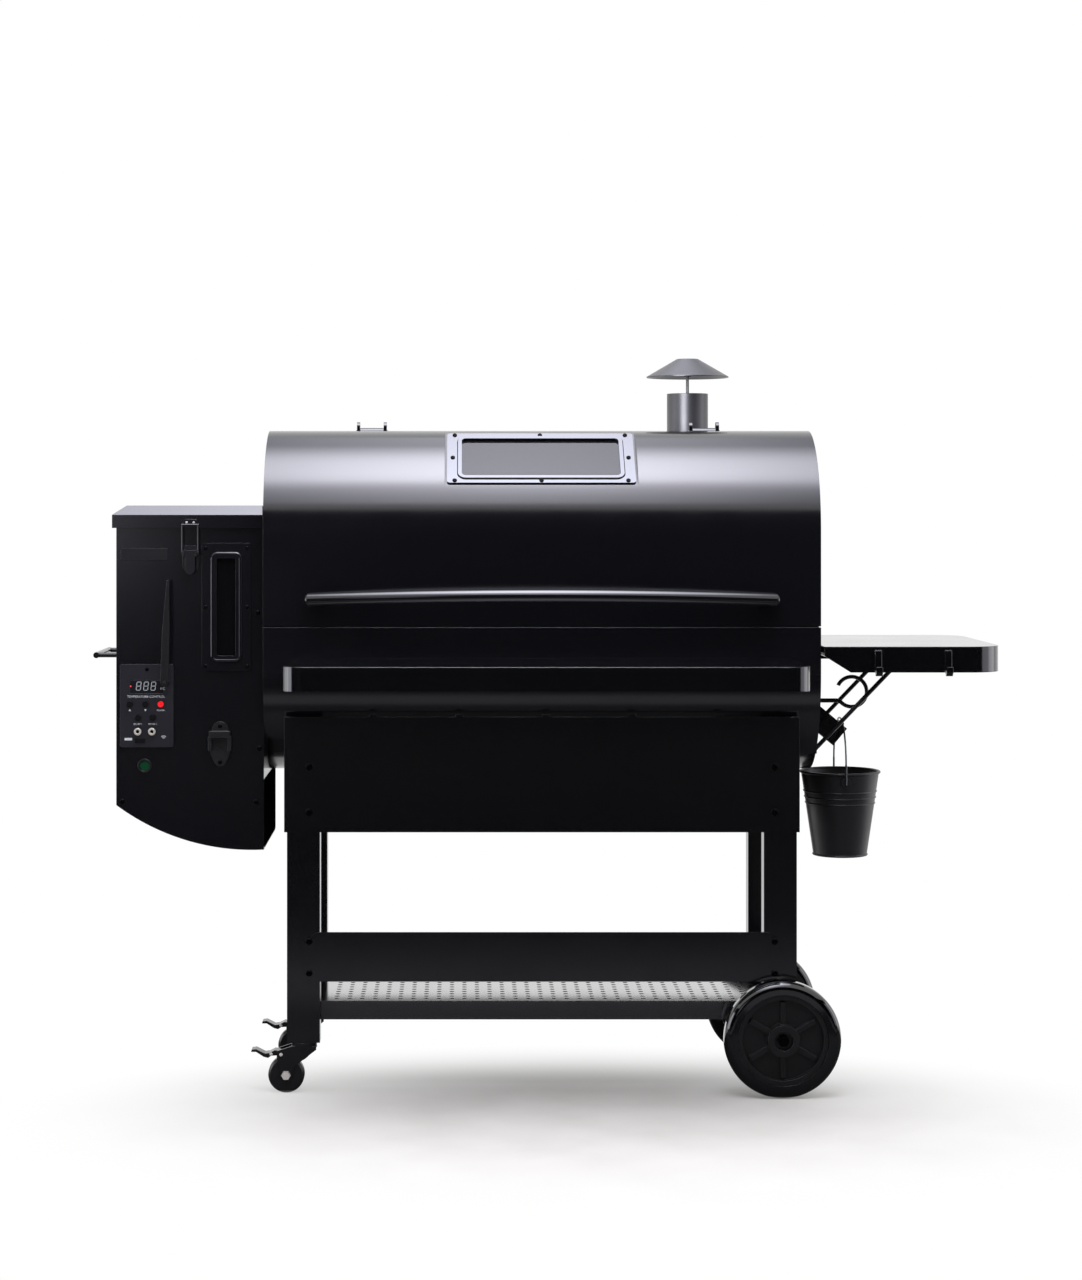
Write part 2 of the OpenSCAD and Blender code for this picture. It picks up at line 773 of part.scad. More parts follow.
// Plate that shades the drip tray from the fire, with the pull rod that ends in a curl outside
module heat_shield() {
    plate_x = firepot_x + firepot_d / 2;
    rod_start_x = plate_x - 6;
    neck_x = end_x + 46;
    color("#2a2a2c") placed() {
        block([plate_x - shield_len, -shield_w / 2, shield_rod_z - shield_t / 2],
              [plate_x, shield_w / 2, shield_rod_z + shield_t / 2]);
        for (s = [-1, 1]) block([plate_x - shield_len, s * shield_w / 2 - shield_t / 2, shield_rod_z - shield_lip],
                                [plate_x, s * shield_w / 2 + shield_t / 2, shield_rod_z + shield_t / 2]);
        rod_x([rod_start_x, shield_rod_y, shield_rod_z], neck_x + 1 - rod_start_x, shield_rod_d);
        translate([neck_x, shield_rod_y, shield_rod_z - curl_neck_r]) rotate([90, 0, 0])
            rotate([0, 0, 87 - curl_neck_angle]) rotate_extrude(angle = curl_neck_angle + 3)
                translate([curl_neck_r, 0]) circle(d = shield_rod_d - 0.4);
        translate([neck_x + (curl_neck_r + curl_r) * sin(curl_neck_angle), shield_rod_y,
                   shield_rod_z - curl_neck_r + (curl_neck_r + curl_r) * cos(curl_neck_angle)])
            rotate([90, 0, 0]) rotate([0, 0, 270 - curl_neck_angle]) rotate_extrude(angle = curl_turn)
                translate([curl_r, 0]) circle(d = shield_rod_d - 0.8);
    }
}

// Sloping duct on the right end plate, with the round roll that the bail hangs on
module grease_chute() {
    color(satin_black) placed() rod_y([hang_x, chute_t / 2 - chute_w / 2, hang_z], chute_w - chute_t, hang_roll_d);
    color(satin_black) placed() difference() {
        intersection() {
            translate([end_x, 0, chute_z]) rotate([0, chute_angle, 0])
                block([-chute_len, -chute_w / 2, -chute_h / 2], [chute_len, chute_w / 2, chute_h / 2]);
            block([end_x, -chute_w, barrel_bottom_z], [end_x + 2 * chute_len, chute_w, barrel_high_z]);
        }
        translate([end_x, 0, chute_z]) rotate([0, chute_angle, 0])
            block([-2 * chute_len, -chute_w / 2 + chute_t, -chute_h / 2 + chute_t],
                  [2 * chute_len, chute_w / 2 - chute_t, chute_h / 2 - chute_t]);
    }
}

// Tapered pail with a rolled rim, three swaged rings, a foot ring and an ear at the front and back
module bucket() {
    top_r = bucket_d / 2 - rim_roll_d / 2;
    base_r = bucket_base_d / 2;
    function wall_r(z) = base_r + (top_r - base_r) * z / bucket_h;
    color("#26282b") placed() translate([hang_x, 0, bucket_bottom_z]) {
        rotate_extrude() {
            polygon([[0, foot_lift], [base_r - bucket_t, foot_lift], [top_r - bucket_t, bucket_h],
                     [top_r, bucket_h], [base_r, 0], [base_r - bucket_t, 0],
                     [base_r - bucket_t, foot_lift - bucket_t], [0, foot_lift - bucket_t]]);
            translate([top_r, bucket_h - rim_roll_d / 2]) circle(d = rim_roll_d, $fn = 24);
            for (i = [0 : 2]) translate([wall_r(bucket_h * (0.62 + 0.07 * i)), bucket_h * (0.62 + 0.07 * i)])
                circle(d = 3, $fn = 16);
            translate([base_r, 2]) circle(d = 4, $fn = 16);
        }
        for (s = [-1, 1]) difference() {
            intersection() {
                translate([0, s * ear_r, bucket_h - ear_drop]) rotate([90, 0, 0])
                    cylinder(d = ear_d, h = 2 * ear_grip, center = true);
                difference() {
                    cylinder(r = bucket_d, h = bucket_h);
                    cylinder(r1 = base_r - bucket_t / 2, r2 = top_r - bucket_t / 2, h = bucket_h);
                }
            }
            translate([0, s * (ear_r + ear_grip + over), bucket_h - ear_drop]) rotate([s * 90, 0, 0])
                cylinder(d = bail_d + 2 * running, h = ear_grip + over);
        }
    }
}

// Wire bail: an arch with two legs that turn in at the ears
module bail() {
    arch_z = bail_top_z - bail_y;
    color("#3c3e42") placed() translate([hang_x, 0, 0]) {
        translate([0, 0, arch_z]) rotate([90, 0, 90]) rotate_extrude(angle = 180)
            translate([bail_y, 0]) circle(d = bail_d);
        for (s = [-1, 1]) {
            translate([0, s * bail_y, ear_z - bail_d]) cylinder(d = bail_d + 0.6, h = arch_z - ear_z + bail_d + 0.5);
            translate([0, s * bail_y, ear_z]) rotate([s * 90, 0, 0]) cylinder(d = bail_d, h = bail_y - ear_r - 1);
        }
    }
}

// Cart

// Four box-section legs cut to the barrel's curve; the left pair takes casters, the right pair the axle
module legs() {
    color(satin_black) placed() for (sx = [-1, 1], y = [front_leg_y, back_leg_y]) difference() {
        foot_z = sx < 0 ? leg_bottom_z : right_leg_z;
        block([sx * leg_x - leg_w / 2, y - leg_d / 2, foot_z], [sx * leg_x + leg_w / 2, y + leg_d / 2, leg_top_z]);
        block([sx * leg_x - leg_w / 2 + leg_wall, y - leg_d / 2 + leg_wall, foot_z + leg_floor_t],
              [sx * leg_x + leg_w / 2 - leg_wall, y + leg_d / 2 - leg_wall, leg_top_z + over]);
        along_x(-end_x, end_x) barrel_section(seat);
        if (sx < 0) translate([sx * leg_x, y, foot_z - over])
            cylinder(d = stem_d + 2 * running, h = leg_floor_t + 2 * over);
        if (sx > 0) rod_y([leg_x, y - leg_d, wheel_z], 2 * leg_d, axle_d + 2 * seat);
    }
}

// End plates between the legs, cut to cradle the barrel
module saddles() {
    color(satin_black) placed() for (s = [-1, 1]) difference() {
        block([s * (leg_in_x - plate_t / 2) - plate_t / 2, cart_front_y, apron_bottom_z],
              [s * (leg_in_x - plate_t / 2) + plate_t / 2, cart_back_y, leg_top_z]);
        along_x(-end_x, end_x) barrel_section(seat);
    }
}

// Front and back aprons with returned ends, the front one with small tabs along its top
module aprons() {
    top_z = apron_bottom_z + apron_h;
    half_x = leg_span / 2 + apron_lap;
    tabs = 5;
    color(satin_black) placed() {
        for (s = [-1, 1]) difference() {
            face_y = s < 0 ? cart_front_y - plate_t : cart_back_y;
            union() {
                block([-half_x, face_y, apron_bottom_z], [half_x, face_y + plate_t, top_z]);
                for (e = [-1, 1])
                    block([e * (half_x - plate_t / 2) - plate_t / 2, min(face_y, face_y - s * leg_reach), apron_bottom_z],
                          [e * (half_x - plate_t / 2) + plate_t / 2, max(face_y, face_y - s * leg_reach) + plate_t, top_z]);
            }
            along_x(-end_x, end_x) barrel_section(seat);
        }
        for (i = [0 : tabs - 1])
            translate([(i - (tabs - 1) / 2) * barrel_len * 0.155, cart_front_y - plate_t, top_z - 1])
                cube([tab_w, plate_t, tab_h + 1]);
    }
}

// Lower rails bolted across the legs, their upper corners cut off
module rails() {
    half_x = leg_span / 2 - rail_inset;
    color(satin_black) placed()
        for (r = [[cart_front_y - plate_t, rail_z, rail_h], [cart_back_y, rail_z + back_rail_rise, back_rail_h]])
            along_y(r[0], r[0] + plate_t) translate([0, r[1]])
                polygon([[-half_x, 0], [half_x, 0], [half_x, r[2] * 0.75], [half_x - r[2] / 4, r[2]],
                         [r[2] / 4 - half_x, r[2]], [-half_x, r[2] * 0.75]]);
}

// Perforated pan between the legs
module bottom_shelf() {
    half_x = leg_in_x;
    rows = floor((shelf_back_y - shelf_front_y - 2 * hole_pitch) / hole_pitch);
    cols = floor((2 * half_x - 2 * hole_pitch) / hole_pitch);
    mid_y = (shelf_front_y + shelf_back_y) / 2;
    color("#2c2c2e") placed() {
        translate([0, mid_y, shelf_z - plate_t]) linear_extrude(plate_t) difference() {
            square([2 * half_x, shelf_back_y - shelf_front_y], center = true);
            for (i = [0 : cols], j = [0 : rows])
                translate([(i - cols / 2) * hole_pitch, (j - rows / 2) * hole_pitch]) circle(d = hole_d, $fn = 16);
        }
        translate([0, mid_y, shelf_z - shelf_lip]) linear_extrude(shelf_lip - plate_t + 0.5) difference() {
            square([2 * half_x, shelf_back_y - shelf_front_y], center = true);
            square([2 * (half_x - plate_t), shelf_back_y - shelf_front_y - 2 * plate_t], center = true);
        }
    }
}

// Wheels

// Axle through both right legs, with spacer collars and a nut in each hub
module wheel_axle() {
    nut_y = wheel_w / 2 + hub_proud - recess_h + clear;
    start_y = wheel_front_y - nut_y - nut_t;
    end_y = wheel_back_y + nut_y + nut_t;
    color(bare_steel) placed() {
        rod_y([leg_x, start_y, wheel_z], end_y - start_y, axle_d);
        for (y = [start_y, end_y - nut_t]) translate([leg_x, y, wheel_z]) rotate([-90, 0, 0])
            cylinder(d = nut_d, h = nut_t, $fn = 6);
        rod_y([leg_x, cart_front_y - wheel_gap + clear, wheel_z], wheel_gap - clear, collar_d);
        rod_y([leg_x, cart_back_y, wheel_z], wheel_gap - clear, collar_d);
    }
}

// One wheel about its middle, its hub facing -Y: rim, recessed web, ribs and a hub with a nut pocket
module wheel_body() {
    rim_in_r = rim_d / 2 - rim_t;
    difference() {
        union() {
            rotate([90, 0, 0]) rotate_extrude() {
                translate([rim_in_r, -wheel_w / 2 + 3]) square([rim_t, wheel_w - 6]);
                translate([hub_d / 4, -web_t / 2]) square([rim_in_r - hub_d / 4 + 0.5, web_t]);
                translate([0, -wheel_w / 2]) square([hub_d / 2, wheel_w + hub_proud]);
            }
            for (i = [0 : spokes - 1]) rotate([0, 360 / spokes * i, 0])
                block([-rib_w / 2, -web_t / 2 - rib_h, hub_d / 2 - 1], [rib_w / 2, 0, rim_in_r - 5]);
        }
        rod_y([0, -wheel_w, 0], 2 * wheel_w, axle_d + 2 * running);
        rod_y([0, -wheel_w / 2 - hub_proud - over, 0], recess_h + over, recess_d);
    }
}

// Solid tyre on the rim
module tyre_body() {
    tread_r = wheel_d / 2;
    bead_r = rim_d / 2 + seat / 2;
    round_r = 14;
    rotate([90, 0, 0]) rotate_extrude($fn = 128) difference() {
        union() {
            translate([bead_r, -wheel_w / 2]) square([tread_r - bead_r - round_r, wheel_w]);
            translate([bead_r, -wheel_w / 2 + round_r]) square([tread_r - bead_r, wheel_w - 2 * round_r]);
            for (s = [-1, 1]) translate([tread_r - round_r, s * (wheel_w / 2 - round_r)]) circle(round_r);
        }
        translate([0, -wheel_w]) square([bead_r, 2 * wheel_w]);
    }
}

module wheel_front() { color("#19191b") placed() translate([leg_x, wheel_front_y, wheel_z]) wheel_body(); }
module wheel_rear() { color("#19191b") placed() translate([leg_x, wheel_back_y, wheel_z]) rotate([0, 0, 180]) wheel_body(); }
module tyre_front() { color(gloss_black) placed() translate([leg_x, wheel_front_y, wheel_z]) tyre_body(); }
module tyre_rear() { color(gloss_black) placed() translate([leg_x, wheel_back_y, wheel_z]) tyre_body(); }

// One caster fork about its swivel axis: stem, race, crown, two cheeks and the axle bolt
module caster_fork() {
    difference() {
        union() {
            translate([0, 0, fork_top_z]) cylinder(d = race_d, h = race_h);
            translate([0, 0, fork_top_z]) cylinder(d = stem_d, h = leg_bottom_z + stem_up - fork_top_z);
            translate([0, 0, leg_bottom_z + leg_floor_t + clear]) cylinder(d = stem_d + 8, h = 6);
            block([-race_d / 2, -fork_in_y - fork_t, fork_top_z - fork_t], [race_d / 2, fork_in_y + fork_t, fork_top_z]);
            for (s = [-1, 1]) along_y(s * (fork_in_y + fork_t / 2) - fork_t / 2, s * (fork_in_y + fork_t / 2) + fork_t / 2) {
                polygon([[race_d / 2, fork_top_z], [-race_d / 2, fork_top_z], [-brake_x - 8, brake_z + 6],
                         [-brake_x - 8, brake_z - 6], [-caster_trail - 11, caster_z],
                         [-caster_trail + 11, caster_z], [-caster_trail + 16, caster_d * 0.75],
                         [race_d / 2, fork_top_z - 6]]);
                translate([-caster_trail, caster_z]) circle(11);
            }
            rod_y([-caster_trail, -fork_in_y - fork_t, caster_z], 2 * (fork_in_y + fork_t), caster_bolt_d);
            for (s = [-1, 1]) translate([-caster_trail, s * (fork_in_y + fork_t + bolt_head_t / 2), caster_z])
                rotate([90, 0, 0]) cylinder(d = bolt_head_d, h = bolt_head_t, center = true, $fn = 6);
        }
        rod_y([-brake_x, -caster_w, brake_z], 2 * caster_w, brake_pin_d + 2 * running);
    }
}

// One caster wheel about its axle
module caster_wheel() {
    half = caster_w / 2;
    edge = 4;
    rotate([90, 0, 0]) rotate_extrude() polygon([
        [caster_bolt_d / 2 + running, -half], [caster_z - edge, -half], [caster_z, -half + edge],
        [caster_z, half - edge], [caster_z - edge, half], [caster_bolt_d / 2 + running, half]
    ]);
}

// One brake about its pin: pin, lever between the cheeks and a cranked pedal
module caster_brake() {
    pin_half = fork_in_y + fork_t + 2;
    rod_y([0, -pin_half, 0], 2 * pin_half, brake_pin_d);
    along_y(-brake_w / 2, brake_w / 2) {
        circle(6);
        polygon([[0, -2], [0, 6], [-12, 7], [-22, 2], [-30, 1], [-46, 9], [-brake_reach, 8],
                 [-brake_reach - 1, 4], [-46, 4], [-32, -5], [-24, -7], [-18, -3]]);
    }
}

module caster_fork_front() { color("#1a1a1c") placed() translate([-leg_x, front_leg_y, 0]) caster_fork(); }
module caster_fork_rear() { color("#1a1a1c") placed() translate([-leg_x, back_leg_y, 0]) caster_fork(); }
module caster_wheel_front() { color("#151517") placed() translate([-leg_x - caster_trail, front_leg_y, caster_z]) caster_wheel(); }
module caster_wheel_rear() { color("#151517") placed() translate([-leg_x - caster_trail, back_leg_y, caster_z]) caster_wheel(); }
module caster_brake_front() { color("#1a1a1c") placed() translate([-leg_x - brake_x, front_leg_y, brake_z]) caster_brake(); }
module caster_brake_rear() { color("#1a1a1c") placed() translate([-leg_x - brake_x, back_leg_y, brake_z]) caster_brake(); }

// Hopper

// The hopper's side outline in (X, Z) with its swept underside, shrunk by a wall
module hopper_outline(shrink = 0, top = 0) {
    intersection() {
        translate([hopper_left_x + shrink, hopper_bottom_z])
            square([hopper_w - 2 * shrink, hopper_rim_z - hopper_bottom_z + top]);
        union() {
            translate([hopper_right_x - sweep_back, hopper_bottom_z + sweep_r]) circle(sweep_r - shrink, $fn = 180);
            translate([hopper_left_x, hopper_bottom_z + hopper_sweep + shrink])
                square([hopper_w, hopper_rim_z - hopper_bottom_z]);
        }
    }
}

// Sheet box, open on top, with its cut-outs and the rear ears and pins of the lid's hinge
module hopper_shell() {
    color(satin_black) placed() {
        difference() {
            along_y(hopper_front_y, hopper_back_y) hopper_outline();
            along_y(hopper_front_y + hopper_t, hopper_back_y - hopper_t) hopper_outline(hopper_t, over);
            along_y(hopper_front_y - over, hopper_front_y + hopper_t + over) {
                translate([sight_x, sight_z])
                    square([sight_glass_w + 2 * sight_edge + 2 * seat, sight_glass_h + 2 * sight_edge + 2 * seat], center = true);
                translate([panel_x + 8, panel_z - panel_h + 8]) square([panel_w - 16, panel_h - 16]);
                translate([rocker_x, rocker_z]) circle(d = rocker_d + bezel_w + 2 * seat);
            }
            rod_x([hopper_right_x - hopper_t - over, auger_y, auger_z], hopper_t + 2 * over, auger_tube_d + 2 * seat);
        }
        for (k = [-1, 1]) translate([latch_x + k * hopper_w * 0.26, 0, 0]) {
            for (s = [-1, 1]) along_x(s * (hopper_knuckle_w / 2 + 3) - 2.5, s * (hopper_knuckle_w / 2 + 3) + 2.5) {
                translate([hopper_hinge_y, hopper_hinge_z]) circle(6.5);
                polygon([[hopper_back_y - 1, hopper_rim_z - 50], [hopper_back_y - 1, hopper_rim_z - 20],
                         [hopper_hinge_y - 6.5, hopper_rim_z - 18], [hopper_hinge_y - 6.5, hopper_hinge_z],
                         [hopper_hinge_y + 6.5, hopper_hinge_z], [hopper_hinge_y + 6.5, hopper_rim_z - 28]]);
            }
            rod_x([-hopper_knuckle_w / 2 - 4, hopper_hinge_y, hopper_hinge_z], hopper_knuckle_w + 8, hopper_pin_d);
        }
    }
}

// Pellet bin: straight walls inside the shell, then a funnel down to the auger tube
module hopper_bin() {
    gap = hopper_t + seat;
    low = [hopper_left_x + gap, hopper_front_y + gap];
    high = [hopper_right_x - gap, hopper_back_y - gap];
    mouth_z = auger_z + auger_tube_d / 2 + seat;
    color("#6e6e70") placed() difference() {
        union() {
            block([low.x, low.y, bin_wall_z], [high.x, high.y, hopper_rim_z - 6]);
            hull() {
                block([low.x, low.y, bin_wall_z - 0.5], [high.x, high.y, bin_wall_z]);
                block([bin_mouth_x - bin_mouth_len / 2, -auger_d / 2 + 4, mouth_z],
                      [bin_mouth_x + bin_mouth_len / 2, auger_d / 2 - 4, mouth_z + 1]);
            }
        }
        block([low.x + bin_t, low.y + bin_t, bin_wall_z], [high.x - bin_t, high.y - bin_t, hopper_rim_z]);
        hull() {
            block([low.x + bin_t, low.y + bin_t, bin_wall_z], [high.x - bin_t, high.y - bin_t, bin_wall_z + 0.5]);
            block([bin_mouth_x - bin_mouth_len / 2 + bin_t, -auger_d / 2 + 4 + bin_t, mouth_z - over],
                  [bin_mouth_x + bin_mouth_len / 2 - bin_t, auger_d / 2 - 4 - bin_t, mouth_z - 0.5]);
        }
        block([sight_x - sight_glass_w / 2 - sight_edge - 1, low.y - over, sight_z - sight_glass_h / 2 - sight_edge - 1],
              [sight_x + sight_glass_w / 2 + sight_edge + 1, low.y + bin_t + over, sight_z + sight_glass_h / 2 + sight_edge + 1]);
    }
}

// Pressed frame of the sight window, with a raised bead
module hopper_window() {
    color(satin_black) placed() {
        along_y(hopper_front_y - sight_t, hopper_front_y) translate([sight_x, sight_z]) difference() {
            round_rect(sight_w, sight_h, 6);
            round_rect(sight_glass_w, sight_glass_h, 4);
        }
        along_y(hopper_front_y - sight_t - 3, hopper_front_y - sight_t) translate([sight_x, sight_z]) difference() {
            round_rect(sight_glass_w + 16, sight_glass_h + 16, 8);
            round_rect(sight_glass_w, sight_glass_h, 4);
        }
    }
}

// Pane behind the frame
module hopper_glass() {
    color("#2b2d30") placed() along_y(hopper_front_y, hopper_front_y + hopper_t)
        translate([sight_x, sight_z]) square([sight_glass_w + 2 * sight_edge, sight_glass_h + 2 * sight_edge], center = true);
}

// Lid with a skirt, a crown, a seal on the rim, rear knuckles and the latch's keeper
module hopper_lid() {
    low = [hopper_left_x - hopper_lid_lap, hopper_front_y - hopper_lid_lap];
    high = [lid_right_x, hopper_back_y + hopper_lid_lap];
    skirt_top_z = lid_skirt_z + hopper_lid_skirt;
    bevel = 24;
    t = 2;
    color(satin_black) placed() {
        difference() {
            union() {
                block([low.x, low.y, lid_skirt_z], [high.x, high.y, skirt_top_z]);
                hull() {
                    block([low.x, low.y, skirt_top_z - 1], [high.x, high.y, skirt_top_z]);
                    block([low.x + bevel, low.y + bevel, skirt_top_z], [high.x - 2, high.y - bevel, skirt_top_z + hopper_lid_crown]);
                }
            }
            block([low.x + t, low.y + t, lid_skirt_z - over], [high.x + over, high.y - t, skirt_top_z - t]);
            hull() {
                block([low.x + t, low.y + t, skirt_top_z - t - 1], [high.x - t, high.y - t, skirt_top_z - t]);
                block([low.x + bevel, low.y + bevel, skirt_top_z - t],
                      [high.x - 2 - t, high.y - bevel, skirt_top_z + hopper_lid_crown - t]);
            }
        }
        difference() {
            block([hopper_left_x - 1, hopper_front_y - 1, hopper_rim_z], [hopper_right_x - 4, hopper_back_y + 1, skirt_top_z + 2]);
            block([hopper_left_x + 5, hopper_front_y + 5, hopper_rim_z - over],
                  [hopper_right_x - 10, hopper_back_y - 5, skirt_top_z + 4]);
        }
        for (k = [-1, 1]) translate([latch_x + k * hopper_w * 0.26, 0, 0]) difference() {
            along_x(-hopper_knuckle_w / 2, hopper_knuckle_w / 2) {
                translate([hopper_hinge_y, hopper_hinge_z]) circle(6);
                translate([high.y - 1, hopper_hinge_z - 3]) square([9, 9]);
            }
            rod_x([-hopper_knuckle_w, hopper_hinge_y, hopper_hinge_z], 2 * hopper_knuckle_w, hopper_pin_d + 2 * running);
        }
        along_y(low.y - 2, low.y) translate([latch_x, lid_skirt_z + 8]) {
            round_rect(26, 16, 5);
        }
    }
}

// Foot of the draw latch, with two ears
module latch_base() {
    color("#1b1b1d") placed() translate([latch_x, 0, 0]) {
        along_y(hopper_front_y - 2, hopper_front_y) translate([0, latch_z - 8]) round_rect(30, 44, 5);
        for (s = [-1, 1]) difference() {
            block([s * 11 - 1.5, latch_y - 6, latch_z - 6], [s * 11 + 1.5, hopper_front_y, latch_z + 6]);
            rod_x([s * 11 - 3, latch_y, latch_z], 6, latch_pin_d + 2 * running);
        }
    }
}

// Lever of the latch with its pin and wire loop
module latch_lever() {
    loop_top_z = hopper_rim_z - 9;
    color("#1b1b1d") placed() translate([latch_x, 0, 0]) {
        rod_x([-16, latch_y, latch_z], 32, latch_pin_d);
        block([-9, loop_y - 1.5, latch_z - 5], [9, latch_y + 2, latch_z + 5]);
        along_y(loop_y - 1.5, loop_y + 1.5) {
            translate([-9, latch_z - 30]) square([18, 30]);
            translate([0, latch_z - 30]) circle(9);
        }
        for (s = [-1, 1]) translate([s * 14.5, 0, 0]) {
            block([-1.5, loop_y - 1.5, latch_z - 3], [1.5, latch_y + 3, latch_z + 3]);
            translate([0, loop_y, latch_z]) cylinder(d = 2.8, h = loop_top_z - latch_z);
        }
        rod_x([-16, loop_y, loop_top_z], 32, 3);
    }
}

// Loop handle on the hopper's outer end
module side_handle() {
    bar_x = hopper_left_x - side_handle_reach + handle_grip_d / 2;
    ends = [hopper_front_y + 65, hopper_back_y - 65];
    color(satin_black) placed() {
        for (y = ends) {
            rod_x([bar_x, y, grip_z], hopper_left_x - bar_x, handle_grip_d - 2);
            rod_x([hopper_left_x - 3, y, grip_z], 3, 26);
        }
        rod_y([bar_x, ends[0] - 8, grip_z], ends[1] - ends[0] + 16, handle_grip_d);
    }
}

// Wall-mounted bottle opener: back plate, hood and two cheeks
module bottle_opener() {
    color("#1a1a1c") placed() translate([opener_x, hopper_front_y, opener_z]) {
        along_y(-3, 0) {
            polygon([[-15, 24], [15, 24], [21, 8], [21, -8], [13, -30], [-13, -30], [-21, -8], [-21, 8]]);
            translate([0, 26]) circle(15);
            translate([0, -30]) circle(11);
        }
        block([-19, -16, 12], [19, -2, 24]);
        for (s = [-1, 1]) block([s * 18 - 3, -14, -12], [s * 18 + 3, -2, 14]);
    }
}

// Controller

// Places a piece at a spot measured right and down from the panel's upper left corner
module on_panel(right, down) {
    translate([panel_x + right, hopper_front_y - panel_t, panel_z - down]) children();
}

// Face plate with button bores, the display's pocket and the antenna's stud
module control_panel() {
    color("#161618") placed() {
        difference() {
            along_y(hopper_front_y - panel_t, hopper_front_y)
                translate([panel_x + panel_w / 2, panel_z - panel_h / 2]) round_rect(panel_w, panel_h, 4);
            for (b = button_spots) on_panel(b[0], b[1]) rod_y([0, -over, 0], panel_t + 2 * over, button_d + 2 * running);
            on_panel(panel_w / 2, lens_down)
                block([-lens_w / 2 - seat, -over, -lens_h / 2 - seat], [lens_w / 2 + seat, lens_t, lens_h / 2 + seat]);
        }
        rod_y([antenna_x, antenna_y - antenna_t / 2 - 3, antenna_z],
              hopper_front_y - panel_t - antenna_y + antenna_t / 2 + 3, antenna_stud_d);
        rod_y([antenna_x, antenna_y + antenna_t / 2 + clear, antenna_z],
              hopper_front_y - panel_t - antenna_y - antenna_t / 2 - clear, antenna_foot_d);
    }
}

// Window of the temperature display
module display_lens() {
    color("#0c0c0e") placed() on_panel(panel_w / 2, lens_down)
        block([-lens_w / 2, 0, -lens_h / 2], [lens_w / 2, lens_t, lens_h / 2]);
}

// Two probe jacks and the cover of the service port
module probe_jacks() {
    color(bare_steel) placed() {
        for (x = [33, 59]) on_panel(x, jack_down) difference() {
            rod_y([0, -4, 0], 4, jack_d);
            rod_y([0, -4 - over, 0], 3 + over, 6);
        }
        on_panel(37, jack_down + 17) block([-9, -2.5, -4], [9, 0, 4]);
    }
}

// One push button with a retaining flange behind the panel
module push_button(i) {
    color(i == 2 ? "#d8202a" : "#0e0e10") placed() on_panel(button_spots[i][0], button_spots[i][1]) {
        rod_y([0, -button_proud, 0], button_proud + panel_t + button_tail, button_d);
        rod_y([0, panel_t + clear, 0], 2, button_d + 4);
    }
}

module button_up() { push_button(0); }
module button_down() { push_button(1); }
module button_power() { push_button(2); }
module button_probe_one() { push_button(3); }
module button_probe_two() { push_button(4); }

// Round bezel of the power switch
module switch_bezel() {
    color("#0f0f11") placed() translate([rocker_x, hopper_front_y, rocker_z]) difference() {
        union() {
            rod_y([0, -3, 0], 3, rocker_d + 2 * bezel_w);
            rod_y([0, -1, 0], 15, rocker_d + bezel_w);
        }
        rod_y([0, -3 - over, 0], 20, rocker_d + 2 * clear);
        translate([0, rocker_t / 2 - 1, -rocker_d]) cylinder(d = rocker_pin_d + 2 * running, h = 2 * rocker_d);
    }
}

// Lit rocker on an upright pin
module power_rocker() {
    color("#1e8a4c") placed() translate([rocker_x, hopper_front_y + rocker_t / 2 - 1, rocker_z]) {
        rod_y([0, -rocker_t / 2, 0], rocker_t, rocker_d - 1);
        translate([0, 0, -rocker_d / 2 - 1]) cylinder(d = rocker_pin_d, h = rocker_d + 2);
    }
}

// Flat paddle antenna that tilts on the panel's stud
module antenna() {
    color("#101012") placed() translate([antenna_x, antenna_y, antenna_z]) difference() {
        along_y(-antenna_t / 2, antenna_t / 2) {
            circle(d = antenna_foot_d);
            polygon([[-antenna_foot_d / 2, 0], [antenna_foot_d / 2, 0], [8, 30], [9, antenna_len * 0.55],
                     [8, antenna_len], [4, antenna_len], [-4, antenna_len * 0.5]]);
        }
        rod_y([0, -antenna_t, 0], 2 * antenna_t, antenna_stud_d + 2 * running);
    }
}

// Gear motor of the auger, and the motor can of the combustion fan
module auger_motor() {
    can_x = hopper_right_x - hopper_t - fan_motor_len;
    color("#88888c") placed() {
        difference() {
            block([motor_x, auger_y - motor_w / 2, auger_z - motor_w / 2],
                  [motor_x + motor_len, auger_y + motor_w / 2, auger_z + motor_w / 2]);
            rod_x([motor_x + motor_len - 14, auger_y, auger_z], 20, auger_shaft_d + 2 * running);
        }
        rod_x([can_x, fan_y, fan_z], fan_motor_len, fan_d * 0.55);
        rod_x([can_x - fan_w - 6, fan_y, fan_z], fan_w + 8, fan_shaft_d);
    }
}

// Fan rotor that feeds air to the firepot
module combustion_fan() {
    blades = 7;
    rotor_x = hopper_right_x - hopper_t - fan_motor_len - fan_w - 2;
    color("#3d3d40") placed() translate([rotor_x, fan_y, fan_z]) difference() {
        union() {
            rod_x([0, 0, 0], fan_w, 30);
            for (i = [0 : blades - 1]) rotate([360 / blades * i, 0, 0]) translate([fan_w / 2, 0, 0]) rotate([0, 0, 35])
                block([-fan_w / 2 + 1, -1, 12], [fan_w / 2 - 1, 1, fan_d / 2]);
        }
        rod_x([-over, 0, 0], fan_w + 2 * over, fan_shaft_d + 2 * running);
    }
}

// Shelves

// Front shelf outline about the barrel's middle, with round front corners
module front_shelf_outline(inset = 0) {
    w = front_shelf_w - 2 * inset;
    r = shelf_corner - inset;
    front_y = reach_front + inset;
    translate([-w / 2, front_y + r]) square([w, shelf_pivot_y - front_y - r]);
    translate([-w / 2 + r, front_y]) square([w - 2 * r, r + 1]);
    for (s = [-1, 1]) translate([s * (w / 2 - r), front_y + r]) circle(r);
}

